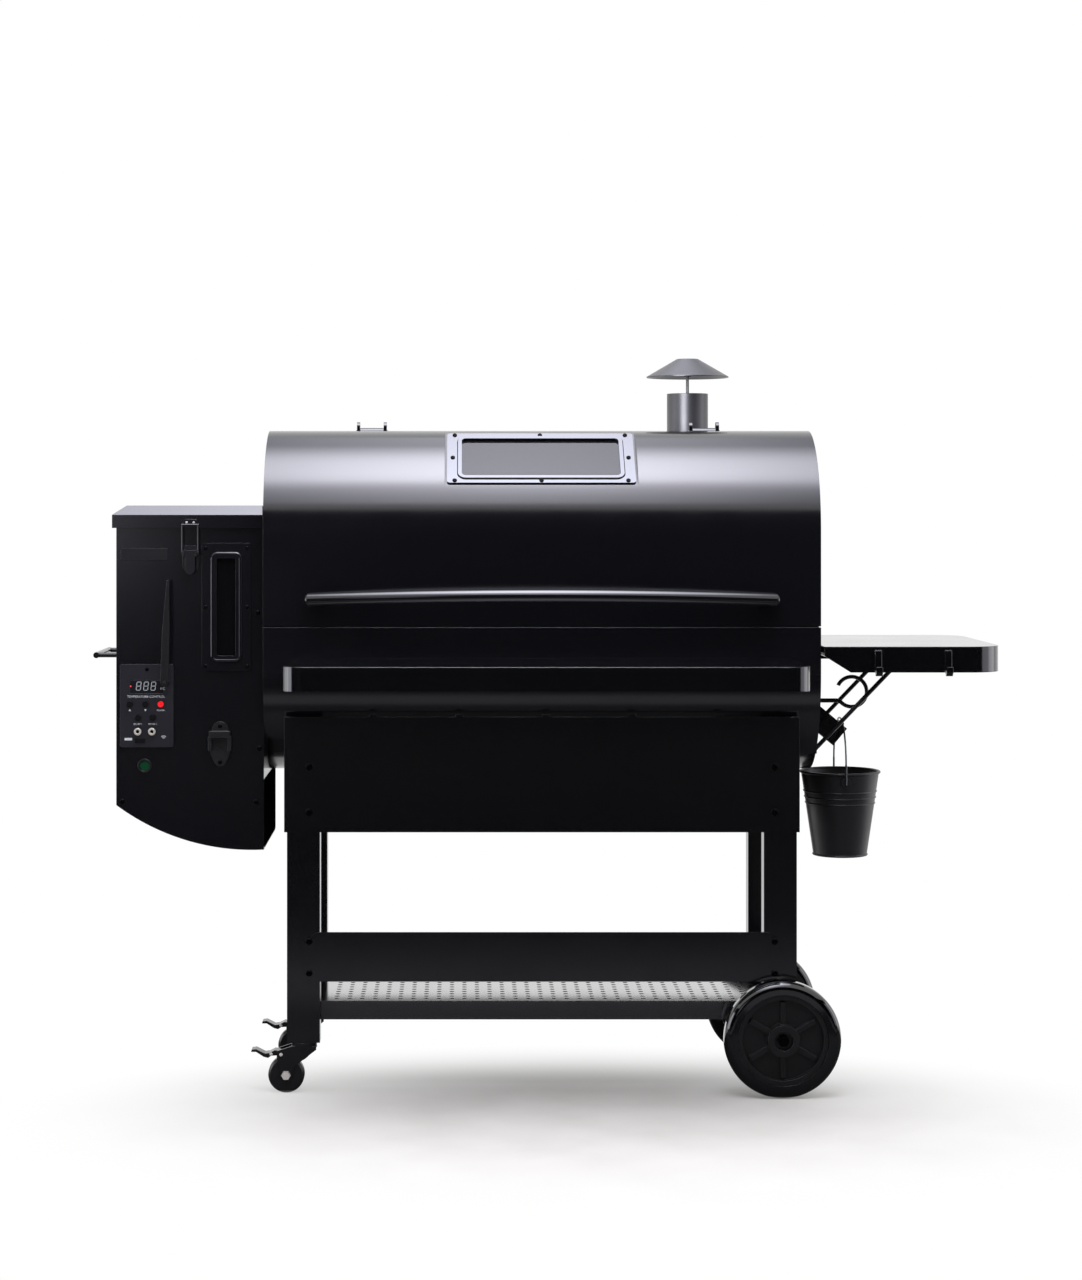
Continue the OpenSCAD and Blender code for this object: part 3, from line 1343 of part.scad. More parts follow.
// Folding shelf: a pan with lips on three sides and a pin bore in each side lip
module front_shelf() {
    top_z = barrel_bottom_z + front_shelf_rise;
    color(gloss_black) placed() difference() {
        union() {
            translate([0, 0, top_z - plate_t]) linear_extrude(plate_t) front_shelf_outline();
            translate([0, 0, top_z - front_shelf_lip]) linear_extrude(front_shelf_lip - 1) difference() {
                front_shelf_outline();
                front_shelf_outline(plate_t);
            }
        }
        rod_x([-front_shelf_w, fold_y, fold_z], 2 * front_shelf_w, fold_pin_d + 2 * running);
    }
}

// Brackets on the barrel's front that carry the folding shelf's pins
module front_shelf_brackets() {
    color(satin_black) placed() for (s = [-1, 1]) difference() {
        union() {
            along_x(s * bracket_x - 2, s * bracket_x + 2) {
                translate([fold_y, fold_z]) circle(10);
                polygon([[fold_y, fold_z + 10], [-barrel_r + 20, fold_z + 26], [-barrel_r + 20, fold_z - 26], [fold_y, fold_z - 10]]);
            }
            block([s * bracket_x - 14, -barrel_r - 3, fold_z - 24], [s * bracket_x + 14, -barrel_r + 20, fold_z + 24]);
            rod_x([s * (bracket_x + front_shelf_w / 2 + 4) / 2 - (front_shelf_w / 2 + 4 - bracket_x) / 2, fold_y, fold_z],
                  front_shelf_w / 2 + 4 - bracket_x, fold_pin_d);
        }
        along_x(-end_x, end_x) barrel_section(seat);
    }
}

// Side shelf outline, round at its outer corners
module side_shelf_outline(inset = 0) {
    d = side_shelf_depth - 2 * inset;
    r = side_shelf_corner - inset;
    low_x = side_shelf_x + inset;
    high_x = reach_right - inset;
    translate([low_x, side_shelf_y - d / 2]) square([high_x - low_x - r, d]);
    translate([high_x - r - 1, side_shelf_y - d / 2 + r]) square([r + 1, d - 2 * r]);
    for (s = [-1, 1]) translate([high_x - r, side_shelf_y + s * (d / 2 - r)]) circle(r);
}

// Fixed side shelf with its lip, its two tabs on the barrel's end plate, and two utensil hooks
module side_shelf() {
    top_z = barrel_bottom_z + side_shelf_rise;
    lip_z = top_z - side_shelf_lip;
    front_y = side_shelf_y - side_shelf_depth / 2;
    near_lip = 17;
    color(gloss_black) placed() {
        difference() {
            union() {
                translate([0, 0, top_z - plate_t]) linear_extrude(plate_t) side_shelf_outline();
                translate([0, 0, lip_z]) linear_extrude(side_shelf_lip - 1) difference() {
                    side_shelf_outline();
                    side_shelf_outline(plate_t);
                }
            }
            along_y(front_y - over, front_y + side_shelf_depth + over)
                polygon([[side_shelf_x - over, lip_z - over], [side_shelf_x + 48, lip_z - over], [side_shelf_x + 48, lip_z],
                         [side_shelf_x, top_z - near_lip], [side_shelf_x - over, top_z - near_lip]]);
        }
        for (s = [-1, 1]) block([end_x, s * strut_y - 20, top_z - 15], [side_shelf_x + 1, s * strut_y + 20, top_z - plate_t - 1]);
        for (x = [0.3, 0.69]) along_x(side_shelf_x + side_shelf_len * x - 6, side_shelf_x + side_shelf_len * x + 6)
            polygon([[front_y, top_z - 7], [front_y - 3, top_z - 7], [front_y - 3, top_z - 44], [front_y - 9, top_z - 49],
                     [front_y - 15, top_z - 44], [front_y - 15, top_z - 36], [front_y - 18, top_z - 36],
                     [front_y - 18, top_z - 46], [front_y - 10, top_z - 53], [front_y - 7, top_z - 53], [front_y, top_z - 46]]);
    }
}

// Two round struts from the end plate to the side shelf's underside
module shelf_struts() {
    under_z = barrel_bottom_z + side_shelf_rise - plate_t;
    foot_z = barrel_bottom_z + 46;
    run_x = (under_z - foot_z) * 0.96;
    lean = atan2(run_x, under_z - foot_z);
    color(satin_black) placed() for (s = [-1, 1]) {
        intersection() {
            translate([end_x + 2, s * strut_y, foot_z]) rotate([0, lean, 0])
                translate([0, 0, -strut_d]) cylinder(d = strut_d, h = norm([run_x, under_z - foot_z]) + 2 * strut_d);
            block([end_x, -barrel_depth, barrel_bottom_z], [reach_right, barrel_depth, under_z]);
        }
        block([end_x, s * strut_y - 8, foot_z - 9], [end_x + 3, s * strut_y + 8, foot_z + 22]);
        block([end_x + run_x - 16, s * strut_y - 10, under_z - 3], [end_x + run_x + 16, s * strut_y + 10, under_z]);
    }
}

barrel_body();
chimney_pipe();
grease_chute();
drip_tray();
grates();
firepot();
auger_tube();
aprons();
saddles();
legs();
rails();
bottom_shelf();
wheel_axle();
hopper_shell();
hopper_bin();
hopper_window();
hopper_glass();
control_panel();
display_lens();
probe_jacks();
switch_bezel();
bottle_opener();
side_handle();
latch_base();
auger_motor();
side_shelf();
shelf_struts();
front_shelf_brackets();
lid_hinges();
lid_shell();
window_frame();
window_glass();
lid_handle();
lid_knuckles();
hopper_lid();
latch_lever();
antenna();
button_up();
button_down();
button_power();
button_probe_one();
button_probe_two();
power_rocker();
chimney_cap();
wheel_front();
wheel_rear();
tyre_front();
tyre_rear();
caster_fork_front();
caster_fork_rear();
caster_wheel_front();
caster_wheel_rear();
caster_brake_front();
caster_brake_rear();
front_shelf();
bucket();
bail();
auger();
heat_shield();
combustion_fan();
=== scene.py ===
"""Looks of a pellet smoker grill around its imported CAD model: finishes, fasteners, trim, light and camera."""

import json
import logging
import math
from dataclasses import dataclass, field
from enum import Enum
from typing import Any, Callable, Iterable, Sequence

import bmesh
import bpy
from mathutils import Matrix, Vector

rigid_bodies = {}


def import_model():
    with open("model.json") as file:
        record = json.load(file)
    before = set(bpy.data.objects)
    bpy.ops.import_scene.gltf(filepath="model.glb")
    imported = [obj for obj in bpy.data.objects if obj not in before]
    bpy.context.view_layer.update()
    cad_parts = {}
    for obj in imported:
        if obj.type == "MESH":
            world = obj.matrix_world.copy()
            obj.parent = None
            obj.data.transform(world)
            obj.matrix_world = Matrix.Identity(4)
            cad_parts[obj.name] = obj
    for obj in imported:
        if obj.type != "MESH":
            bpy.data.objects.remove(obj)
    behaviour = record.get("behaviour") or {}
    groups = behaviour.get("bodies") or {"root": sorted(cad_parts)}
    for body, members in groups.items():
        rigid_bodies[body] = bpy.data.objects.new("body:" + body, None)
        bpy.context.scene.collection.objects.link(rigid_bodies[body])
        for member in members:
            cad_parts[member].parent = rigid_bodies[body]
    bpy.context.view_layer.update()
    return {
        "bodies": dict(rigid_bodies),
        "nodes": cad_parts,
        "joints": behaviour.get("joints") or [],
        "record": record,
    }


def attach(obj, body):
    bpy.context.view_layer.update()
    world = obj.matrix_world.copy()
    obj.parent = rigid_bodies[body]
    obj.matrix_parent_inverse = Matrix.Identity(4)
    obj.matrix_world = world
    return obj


LOG = logging.getLogger("grill")
Pair = tuple[float, float]
Point = tuple[float, float, float]
Outline = Sequence[Pair]
Mesh = bmesh.types.BMesh
MM = 0.001
# Metres within which two corners are one
TINY = 1e-6
# Chamfer of a plate, as a share of its thickness and at most, in millimetres
CHAMFER_SHARE = 0.25
CHAMFER_MOST = 0.4
# How far the foot of a bead goes into its sheet, in millimetres
BEAD_FOOT = 0.3
# The part's origin, in millimetres from the middle of the barrel, where every size below is measured
ORIGIN: Point = (5.0, -59.25, 0.0)
IMAGE_WIDTH = 1082
IMAGE_HEIGHT = 1280


class Body(str, Enum):
    """CAD bodies that carry pieces of trim."""

    GRILL = "grill"
    LID = "lid"
    HOPPER_LID = "hopper_lid"
    FORK_FRONT = "fork_front"
    FORK_REAR = "fork_rear"
    BRAKE_FRONT = "brake_front"
    BRAKE_REAR = "brake_rear"


class Facing(Enum):
    """Directions that a flat-backed fitting can look in, as the turn that takes +Z there."""

    FRONT = Matrix.Rotation(math.radians(90), 4, "X")
    BACK = Matrix.Rotation(math.radians(-90), 4, "X")
    RIGHT = Matrix.Rotation(math.radians(90), 4, "Y")
    UP = Matrix.Identity(4)


def place(x: float, y: float, z: float) -> Vector:
    """Turns millimetres from the barrel's middle into metres in the part's frame."""
    return Vector(((x - ORIGIN[0]) * MM, (y - ORIGIN[1]) * MM, (z - ORIGIN[2]) * MM))


def linear(code: str) -> tuple[float, float, float, float]:
    """Turns an sRGB hex colour into linear RGBA.

    Args:
        code: Six hex digits after a hash.

    Returns:
        Linear red, green, blue and an alpha of one.
    """
    values = [int(code[i : i + 2], 16) / 255 for i in (1, 3, 5)]
    rgb = [v / 12.92 if v <= 0.04045 else ((v + 0.055) / 1.055) ** 2.4 for v in values]
    return (rgb[0], rgb[1], rgb[2], 1.0)


def add_node(
    tree: bpy.types.NodeTree, kind: str, settings: dict[str, Any] | None = None, **inputs: Any
) -> bpy.types.Node:
    """Adds one shader node with its settings, input values and links.

    Args:
        tree: Node tree that gets the node.
        kind: Blender's type name of the node.
        settings: Values of the node's own properties.
        inputs: Values or output sockets for its inputs, with spaces in their names as underscores.

    Returns:
        The new node.
    """
    node = tree.nodes.new(kind)
    for name, value in (settings or {}).items():
        setattr(node, name, value)
    for name, value in inputs.items():
        key: Any = int(name[1:]) if name[0] == "i" and name[1:].isdigit() else name.replace("_", " ")
        socket = node.inputs[key]
        if isinstance(value, bpy.types.NodeSocket):
            tree.links.new(value, socket)
        else:
            socket.default_value = value
    return node


def new_tree(name: str) -> tuple[bpy.types.Material, bpy.types.NodeTree]:
    """Makes an empty node material.

    Args:
        name: Name of the material.

    Returns:
        The material and its node tree.
    """
    made = bpy.data.materials.new(name)
    made.use_nodes = True
    made.node_tree.nodes.clear()
    return made, made.node_tree


@dataclass(frozen=True)
class Coat:
    """A sprayed or moulded surface: one colour with fine grain in its tone and relief, and slow patches in its
    gloss.

    Grain of less than about a millimetre is drawn coarser than the real one, which is too fine to show.
    """

    name: str
    colour: str
    roughness: float
    grain_mm: float
    relief_mm: float
    specular: float = 0.5
    spread: float = 0.06
    coat: float = 0.0
    coat_roughness: float = 0.05
    tint: str = ""
    edge_mm: float = 1.2
    coat_ior: float = 1.5
    patch_mm: float = 120.0

    def material(self) -> bpy.types.Material:
        """Builds the finish.

        Returns:
            A material with grain in its colour and bump, and slow patches in its roughness.
        """
        made, tree = new_tree(self.name)
        where = add_node(tree, "ShaderNodeTexCoord").outputs["Object"]
        fine, slow = 1 / (self.grain_mm * MM), 1 / (self.patch_mm * MM)
        grain = add_node(
            tree, "ShaderNodeTexNoise", None, Vector=where, Scale=fine, Detail=2.0, Roughness=0.55
        )
        patches = add_node(tree, "ShaderNodeTexNoise", None, Vector=where, Scale=slow, Detail=3.0)
        rough = add_node(
            tree,
            "ShaderNodeMapRange",
            None,
            Value=patches.outputs["Fac"],
            From_Min=0.3,
            From_Max=0.7,
            To_Min=self.roughness - self.spread,
            To_Max=self.roughness + self.spread,
        )
        colour = add_node(
            tree,
            "ShaderNodeMix",
            {"data_type": "RGBA"},
            i0=grain.outputs["Fac"],
            i6=linear(self.colour),
            i7=linear(self.tint or self.colour),
        )
        edges = add_node(tree, "ShaderNodeBevel", {"samples": 4}, Radius=self.edge_mm * MM)
        bump = add_node(
            tree,
            "ShaderNodeBump",
            None,
            Strength=1.0,
            Distance=self.relief_mm * MM,
            Height=grain.outputs["Fac"],
            Normal=edges.outputs["Normal"],
        )
        shader = add_node(
            tree,
            "ShaderNodeBsdfPrincipled",
            None,
            Base_Color=colour.outputs[2],
            Roughness=rough.outputs["Result"],
            Specular_IOR_Level=self.specular,
            Coat_Weight=self.coat,
            Coat_Roughness=self.coat_roughness,
            Coat_IOR=self.coat_ior,
            Normal=bump.outputs["Normal"],
        )
        add_node(tree, "ShaderNodeOutputMaterial", None, Surface=shader.outputs["BSDF"])
        return made


@dataclass(frozen=True)
class Metal:
    """Bare metal with fine lines along one way, as a brush or a rolling mill leaves them.

    The lines are drawn wider than the real ones, which are too fine to show.
    """

    name: str
    colour: str
    roughness: float
    line_mm: float
    run: Point = (1.0, 1.0, 1.0)
    relief_mm: float = 0.02

    def material(self) -> bpy.types.Material:
        """Builds the finish.

        Returns:
            A metal material with lines in its roughness and bump.
        """
        made, tree = new_tree(self.name)
        where = add_node(tree, "ShaderNodeTexCoord").outputs["Object"]
        drawn = add_node(tree, "ShaderNodeMapping", None, Vector=where, Scale=self.run)
        fine = 1 / (self.line_mm * MM)
        lines = add_node(
            tree, "ShaderNodeTexNoise", None, Vector=drawn.outputs["Vector"], Scale=fine, Detail=4.0
        )
        rough = add_node(
            tree,
            "ShaderNodeMapRange",
            None,
            Value=lines.outputs["Fac"],
            To_Min=self.roughness * 0.7,
            To_Max=self.roughness * 1.3,
        )
        deep = self.relief_mm * MM
        bump = add_node(
            tree, "ShaderNodeBump", None, Strength=0.25, Distance=deep, Height=lines.outputs["Fac"]
        )
        shader = add_node(
            tree,
            "ShaderNodeBsdfPrincipled",
            None,
            Base_Color=linear(self.colour),
            Metallic=1.0,
            Roughness=rough.outputs["Result"],
            Normal=bump.outputs["Normal"],
        )
        add_node(tree, "ShaderNodeOutputMaterial", None, Surface=shader.outputs["BSDF"])
        return made


@dataclass(frozen=True)
class Pane:
    """Ceramic glass, drawn flat: faint smoke in the body and a clean gloss."""

    name: str
    colour: str
    see_through: float
    roughness: float = 0.03
    film_mm: float = 50.0
    ior: float = 1.46

    def material(self) -> bpy.types.Material:
        """Builds the finish.

        Returns:
            A glass material with a faint film of cooking smoke on it.
        """
        made, tree = new_tree(self.name)
        where = add_node(tree, "ShaderNodeTexCoord").outputs["Object"]
        slow = 1 / (self.film_mm * MM)
        film = add_node(tree, "ShaderNodeTexNoise", None, Vector=where, Scale=slow, Detail=4.0)
        rough = add_node(
            tree,
            "ShaderNodeMapRange",
            None,
            Value=film.outputs["Fac"],
            To_Min=self.roughness,
            To_Max=self.roughness + 0.08,
        )
        shader = add_node(
            tree,
            "ShaderNodeBsdfPrincipled",
            None,
            Base_Color=linear(self.colour),
            Roughness=rough.outputs["Result"],
            Transmission_Weight=self.see_through,
            IOR=self.ior,
        )
        add_node(tree, "ShaderNodeOutputMaterial", None, Surface=shader.outputs["BSDF"])
        return made


@dataclass(frozen=True)
class Lamp:
    """Moulded plastic that is lit from inside."""

    name: str
    colour: str
    glow: float
    roughness: float = 0.25
    haze_mm: float = 4.0

    def material(self) -> bpy.types.Material:
        """Builds the finish.

        Returns:
            A gloss plastic that gives off a little of its own colour, with a gloss that is a little uneven.
        """
        made, tree = new_tree(self.name)
        where = add_node(tree, "ShaderNodeTexCoord").outputs["Object"]
        slow = 1 / (self.haze_mm * MM)
        haze = add_node(tree, "ShaderNodeTexNoise", None, Vector=where, Scale=slow, Detail=2.0)
        rough = add_node(
            tree,
            "ShaderNodeMapRange",
            None,
            Value=haze.outputs["Fac"],
            To_Min=self.roughness - 0.05,
            To_Max=self.roughness + 0.1,
        )
        shader = add_node(
            tree,
            "ShaderNodeBsdfPrincipled",
            None,
            Base_Color=linear(self.colour),
            Roughness=rough.outputs["Result"],
            Emission_Color=linear(self.colour),
            Emission_Strength=self.glow,
        )
        add_node(tree, "ShaderNodeOutputMaterial", None, Surface=shader.outputs["BSDF"])
        return made


class Palette:
    """Every finish on the grill, each made once."""

    # Nodes whose finish differs from their slot's own
    OWN_FINISH = {
        "lid_hinges": "satin_black",
        "lid_knuckles": "satin_black",
        "wheel_axle": "black_screw",
        "hopper_glass": "dark_pane",
        "bottom_shelf": "pan_black",
        "window_frame": "frame_steel",
        # The flue's coat is lighter than the lid's, which is partly painted light
        "chimney_pipe": "heat_and_sheen_black",
        "chimney_cap": "heat_and_sheen_black",
        "bottle_opener": "die_cast",
        "control_panel": "face_sheet",
        "bail": "wire",
        "probe_jacks": "rubber",
        "latch_lever": "black_chrome",
        "latch_base": "black_chrome",
        "button_up": "rubber",
        "button_down": "rubber",
        "button_probe_one": "rubber",
        "button_probe_two": "rubber",
    }
    # Slot of the record that each finish of a new piece stands for
    RECORD_SLOT = {
        "black_screw": "steel",
        "bright_bolt": "steel",
        "ink": "dark_plastic",
        "digit": "lens",
        "plate": "satin_black",
        "nickel": "steel",
        "frame_steel": "steel",
        "rubber": "dark_plastic",
        "felt": "dark_plastic",
    }

    def __init__(self) -> None:
        """Builds the materials."""
        finishes = {
            # Polyester powder coat, sprayed and baked: an even satin black with a fine orange peel
            "satin_black": Coat(
                "satin_powder_coat", "#0c0c10", 0.16, 1.8, 0.01, 0.9, 0.02, tint="#0e0e12", edge_mm=0.7
            ),
            # The same coat on the flue, dulled by heat to a wide, soft sheen, with a base drawn lighter than
            # the lid's: painted light for the flue's bright look
            "heat_and_sheen_black": Coat("heat_dulled_sheen_coat", "#202023", 0.36, 1.8, 0.015, 1.0, 0.03, tint="#242428"),
            # The same coat laid on smooth for the shelves: a dark, nearly clear gloss
            "gloss_black": Coat(
                "gloss_powder_coat", "#08080a", 0.14, 3.0, 0.006, 0.8, 0.02, 0.4, 0.06, edge_mm=2.5
            ),
            # Steel pressing, black chromed: dark with a clear gloss
            "black_chrome": Coat(
                "black_chromed_steel", "#101014", 0.24, 1.2, 0.006, 1.0, 0.02, 0.5, 0.08, edge_mm=0.8
            ),
            # Gloss coat on the pan, which mirrors the bright room at a low angle
            "pan_black": Coat(
                "gloss_pan_coat", "#1c1c1e", 0.16, 3.0, 0.01, 0.9, 0.03, 1.0, 0.12, coat_ior=1.7
            ),
            # Cold-rolled steel, zinc plated and pressed: a cool grey with fine lines
            "steel": Metal("zinc_plated_steel", "#b4b6b8", 0.3, 0.8, (0.05, 1.0, 1.0)),
            # Stainless strip, pressed and bright: a darker grey that takes the lamp's tone
            "frame_steel": Metal("pressed_stainless", "#6c6d70", 0.2, 0.8, (0.05, 1.0, 1.0)),
            # Porcelain enamel on steel: dark and a little uneven
            "tray_steel": Coat("porcelain_tray", "#2a2a2b", 0.35, 2.0, 0.05),
            # Grey iron, sand cast: rough and brownish
            "cast": Coat("sand_cast_iron", "#322f2d", 0.62, 1.5, 0.15, tint="#26211f"),
            # Zinc alloy, die cast and blackened: a soft grey on its raised edges
            "die_cast": Coat("blackened_die_cast", "#1b1b1d", 0.36, 1.0, 0.03, 0.8, tint="#141416"),
            # Ceramic glass, drawn flat: smoke grey, with the room mirrored in it
            "pane": Pane("ceramic_glass", "#1c1d1f", 0.5),
            # The hopper's pane, dusty and with dark pellets behind it
            "dark_pane": Pane("hopper_glass_sheet", "#101012", 0.35, 0.05),
            # Glass-filled nylon, moulded: a dull black with a spark-eroded grain
            "hub": Coat("moulded_nylon", "#0d0d0e", 0.34, 0.9, 0.02, 0.8),
            # Cast polyurethane tyre: very dark and wet-looking
            "tyre": Coat("cast_polyurethane", "#040405", 0.08, 6.0, 0.004, 0.7, 0.02, 0.6, 0.04),
            # ABS, moulded with a fine texture
            "dark_plastic": Coat("textured_abs", "#0e0e11", 0.3, 0.9, 0.015, 0.9),
            # Anodised face sheet of the controller: a bluish charcoal
            "face_sheet": Coat("anodised_face", "#1b1b21", 0.34, 0.8, 0.01, 0.6, tint="#202027"),
            # Acrylic sheet, smoked: the display's dark window
            "lens": Coat("smoked_acrylic", "#121217", 0.3, 4.0, 0.002, 0.5, 0.02),
            # Polycarbonate, moulded clear and lit from behind: a plain red and a deep green
            "red": Lamp("red_polycarbonate", "#d8141c", 0.45),
            "green": Lamp("green_polycarbonate", "#08381f", 0.12, 0.15),
            # Enamelled tinplate: a bluish black gloss over rolled rings
            "pail": Coat("enamelled_tinplate", "#0e0f12", 0.42, 2.5, 0.012, 0.8),
            # Blackened screws: oiled oxide on steel
            "black_screw": Metal("black_oxide", "#1c1c1e", 0.34, 0.6),
            # Zinc on steel, bright dipped: pale from every side
            "bright_bolt": Coat("bright_zinc", "#b7b4ae", 0.28, 0.7, 0.004, 0.8, edge_mm=0.3),
            # Drawn wire, galvanised
            "wire": Metal("galvanised_wire", "#77797c", 0.3, 0.5),
            # Silk-screened ink, thick and slightly chalky
            "ink": Coat("screen_ink", "#b9bcbe", 0.6, 0.4, 0.01, edge_mm=0.05),
            # Diffusing resin of a display's segment: a pale grey that hardly glows
            "digit": Lamp("display_segment", "#969b9e", 0.1),
            # Silicone rubber, moulded: dull and very dark
            "rubber": Coat("silicone_rubber", "#030304", 0.6, 0.8, 0.01, 0.25),
            # Turned brass, nickel plated and a little dulled, drawn as a pale dull coat instead of bright
            # metal: a painted highlight, so that it stays pale against the panel
            "nickel": Coat("plated_brass_painted_highlight", "#a9a59c", 0.32, 0.8, 0.004, 0.8, edge_mm=0.2),
            # Aluminium foil, anodised dark: a shade lighter than the hopper
            "plate": Coat("bare_label_plate", "#1c1c1f", 0.3, 1.2, 0.01),
            # Pressed graphite felt: no gloss at all, laid as painted shade on a face that lies in shade
            "felt": Coat("painted_shade_graphite_sheet", "#0b0b0c", 0.95, 1.4, 0.1, 0.0),
        }
        self._made: dict[str, bpy.types.Material] = {name: f.material() for name, f in finishes.items()}

    def __getitem__(self, name: str) -> bpy.types.Material:
        """Gives the material of a named finish."""
        return self._made[name]

    def dress_nodes(self, frame: dict[str, Any]) -> None:
        """Puts each CAD node's finish on it.
        """
        slots = {part["node"]: part["material_slot"] for part in frame["record"]["subparts"]}
        for name, node in frame["nodes"].items():
            made = self._made[self.OWN_FINISH.get(name, slots[name])]
            if not node.material_slots:
                node.data.materials.append(made)
            for holder in node.material_slots:
                holder.material = made


@dataclass
class Workshop:
    """Makes mesh pieces, dresses them and hangs them on their bodies."""

    palette: Palette
    count: int = 0

    def piece(self, name: str, mesh: Mesh, finish: str, body: Body, smooth: float = 35.0) -> None:
        """Turns a mesh in the part's frame into a piece that rides on a body.

        Args:
            name: Plain name of the piece.
            mesh: Its faces, in metres in the part's frame.
            finish: Name of its finish in the palette.
            body: CAD body that carries it.
            smooth: Angle in degrees below which an edge is shaded smooth.
        """
        bmesh.ops.recalc_face_normals(mesh, faces=mesh.faces)
        limit = math.radians(smooth)
        for face in mesh.faces:
            face.smooth = True
        for edge in mesh.edges:
            edge.smooth = len(edge.link_faces) == 2 and edge.calc_face_angle(0.0) < limit
        data = bpy.data.meshes.new(name)
        mesh.to_mesh(data)
        mesh.free()
        data.materials.append(self.palette[finish])
        made = bpy.data.objects.new(name, data)
        bpy.context.scene.collection.objects.link(made)
        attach(made, body.value)
        self.count += 1
        LOG.info("made %s on %s", name, body.value)


def skin(rings: Sequence[Sequence[bmesh.types.BMVert]], into: Mesh) -> None:
    """Joins each ring of corners to the next one by faces.

    Args:
        rings: Rings of as many corners each, or of one where they close to a point.
        into: Mesh that gets the faces.
    """
    for low, high in zip(rings, rings[1:]):
        steps = max(len(low), len(high))
        for i in range(steps):
            j = (i + 1) % steps
            corners = [low[i % len(low)], low[j % len(low)], high[j % len(high)], high[i % len(high)]]
            unique = list(dict.fromkeys(corners))
            if len(unique) > 2:
                into.faces.new(unique)


def lathe(profile: Outline, steps: int, turn: Matrix, at: Vector, into: Mesh) -> None:
    """Spins a profile of (radius, height) in millimetres about its own +Z and adds it to a mesh.

    Args:
        profile: Points from the axis out and back, closed at both ends by the axis.
        steps: Sides round the axis.
        turn: Turn that takes +Z to where the piece looks.
        at: Place of the profile's zero, in metres.
        into: Mesh that gets the faces.
    """
    rings: list[list[bmesh.types.BMVert]] = []
    for radius, height in profile:
        if radius < TINY:
            rings.append([into.verts.new(at + turn @ Vector((0, 0, height * MM)))])
            continue
        ring = []
        for i in range(steps):
            a = 2 * math.pi * i / steps
            spot = Vector((radius * MM * math.cos(a), radius * MM * math.sin(a), height * MM))
            ring.append(into.verts.new(at + turn @ spot))
        rings.append(ring)
    skin(rings, into)


def slab(outline: Outline, depth: float, turn: Matrix, at: Vector, into: Mesh) -> None:
    """Adds a flat plate with a small chamfer round its face.

    Args:
        outline: Corners of the plate in millimetres, anticlockwise seen from its face.
        depth: Thickness in millimetres.
        turn: Turn that takes +Z to where the face looks.
        at: Place of the outline's zero on the surface behind it, in metres.
        into: Mesh that gets the faces.
    """
    edge = min(CHAMFER_SHARE * depth, CHAMFER_MOST)
    middle = Vector((sum(p[0] for p in outline), sum(p[1] for p in outline), 0)) / len(outline)
    reach = max((Vector((x, y, 0)) - middle).length for x, y in outline)
    shrink = 1 - edge / reach
    levels = [(1.0, 0.0), (1.0, depth - edge), (shrink, depth)]
    rings = []
    for scale, height in levels:
        ring = []
        for x, y in outline:
            spot = middle + (Vector((x, y, 0)) - middle) * scale
            ring.append(into.verts.new(at + turn @ (Vector((spot.x, spot.y, height)) * MM)))
        rings.append(ring)
    into.faces.new(list(reversed(rings[0])))
    into.faces.new(rings[-1])
    skin(rings, into)


def dome(radius: float, rise: float, angles: Iterable[float]) -> list[Pair]:
    """Gives the profile of a dome, as (radius, height) at angles in degrees up from its rim."""
    return [(radius * math.cos(math.radians(a)), rise * math.sin(math.radians(a))) for a in angles]


def bar_outline(width: float, height: float) -> list[Pair]:
    """Gives the corners of a rectangle, in millimetres about its middle."""
    w, h = width / 2, height / 2
    return [(-w, -h), (w, -h), (w, h), (-w, h)]


def round_outline(width: float, height: float, radius: float, steps: int = 6) -> list[Pair]:
    """Gives the corners of a rectangle with round corners, in millimetres about its middle.

    Args:
        width: Its width.
        height: Its height.
        radius: Radius of its corners.
        steps: Edges on one corner.

    Returns:
        The corners, anticlockwise.
    """
    w, h = width / 2 - radius, height / 2 - radius
    points = []
    for k, (sx, sy) in enumerate(((1, 1), (-1, 1), (-1, -1), (1, -1))):
        for i in range(steps + 1):
            a = math.radians(90 * k + 90 * i / steps)
            points.append((sx * w + radius * math.cos(a), sy * h + radius * math.sin(a)))
    return points


def bead(size: Point, radius: float, surface: Callable[[float, float, float], Vector], into: Mesh) -> None:
    """Adds a half-round bead along a rectangle with round corners.

    Args:
        size: Width, height and corner radius of its middle line, in millimetres.
        radius: Radius of the bead in millimetres.
        surface: Gives the place of a point across, up and out of the surface.
        into: Mesh that gets the faces.
    """
    path = round_outline(*size)
    rings = []
    for i, (x, y) in enumerate(path):
        along = (Vector(path[(i + 1) % len(path)]) - Vector(path[i - 1])).normalized()
        ring = []
        for a in (0, 30, 60, 90, 120, 150, 180, 270):
            wide = radius * math.cos(math.radians(a))
            high = radius * math.sin(math.radians(a)) if a <= 180 else -BEAD_FOOT
            ring.append(into.verts.new(surface(x + along.y * wide, y - along.x * wide, high)))
        rings.append(ring)
    skin(rings + rings[:1], into)


@dataclass(frozen=True)
class Screw:
    """A pan-head screw with a cross recess."""

    head: float = 8.0
    rise: float = 2.6
    slot: float = 1.1

    def drive(self, at: Vector, turn: Matrix, into: Mesh) -> None:
        """Adds the screw's head to a mesh.

        Args:
            at: Place on the surface.
            turn: Turn that takes +Z to where the head looks.
            into: Mesh that gets the faces.
        """
        r = self.head / 2
        crown = [(x, self.rise * 0.35 + y) for x, y in dome(r, self.rise * 0.65, (10, 28, 46, 60))]
        mouth = (r * 0.42, self.rise * 0.86)
        lathe([(0, 0), (r, 0), (r, self.rise * 0.3), *crown, mouth], 20, turn, at, into)
        lathe([mouth, (self.slot * 0.9, self.rise * 0.45), (0, self.rise * 0.4)], 4, turn, at, into)


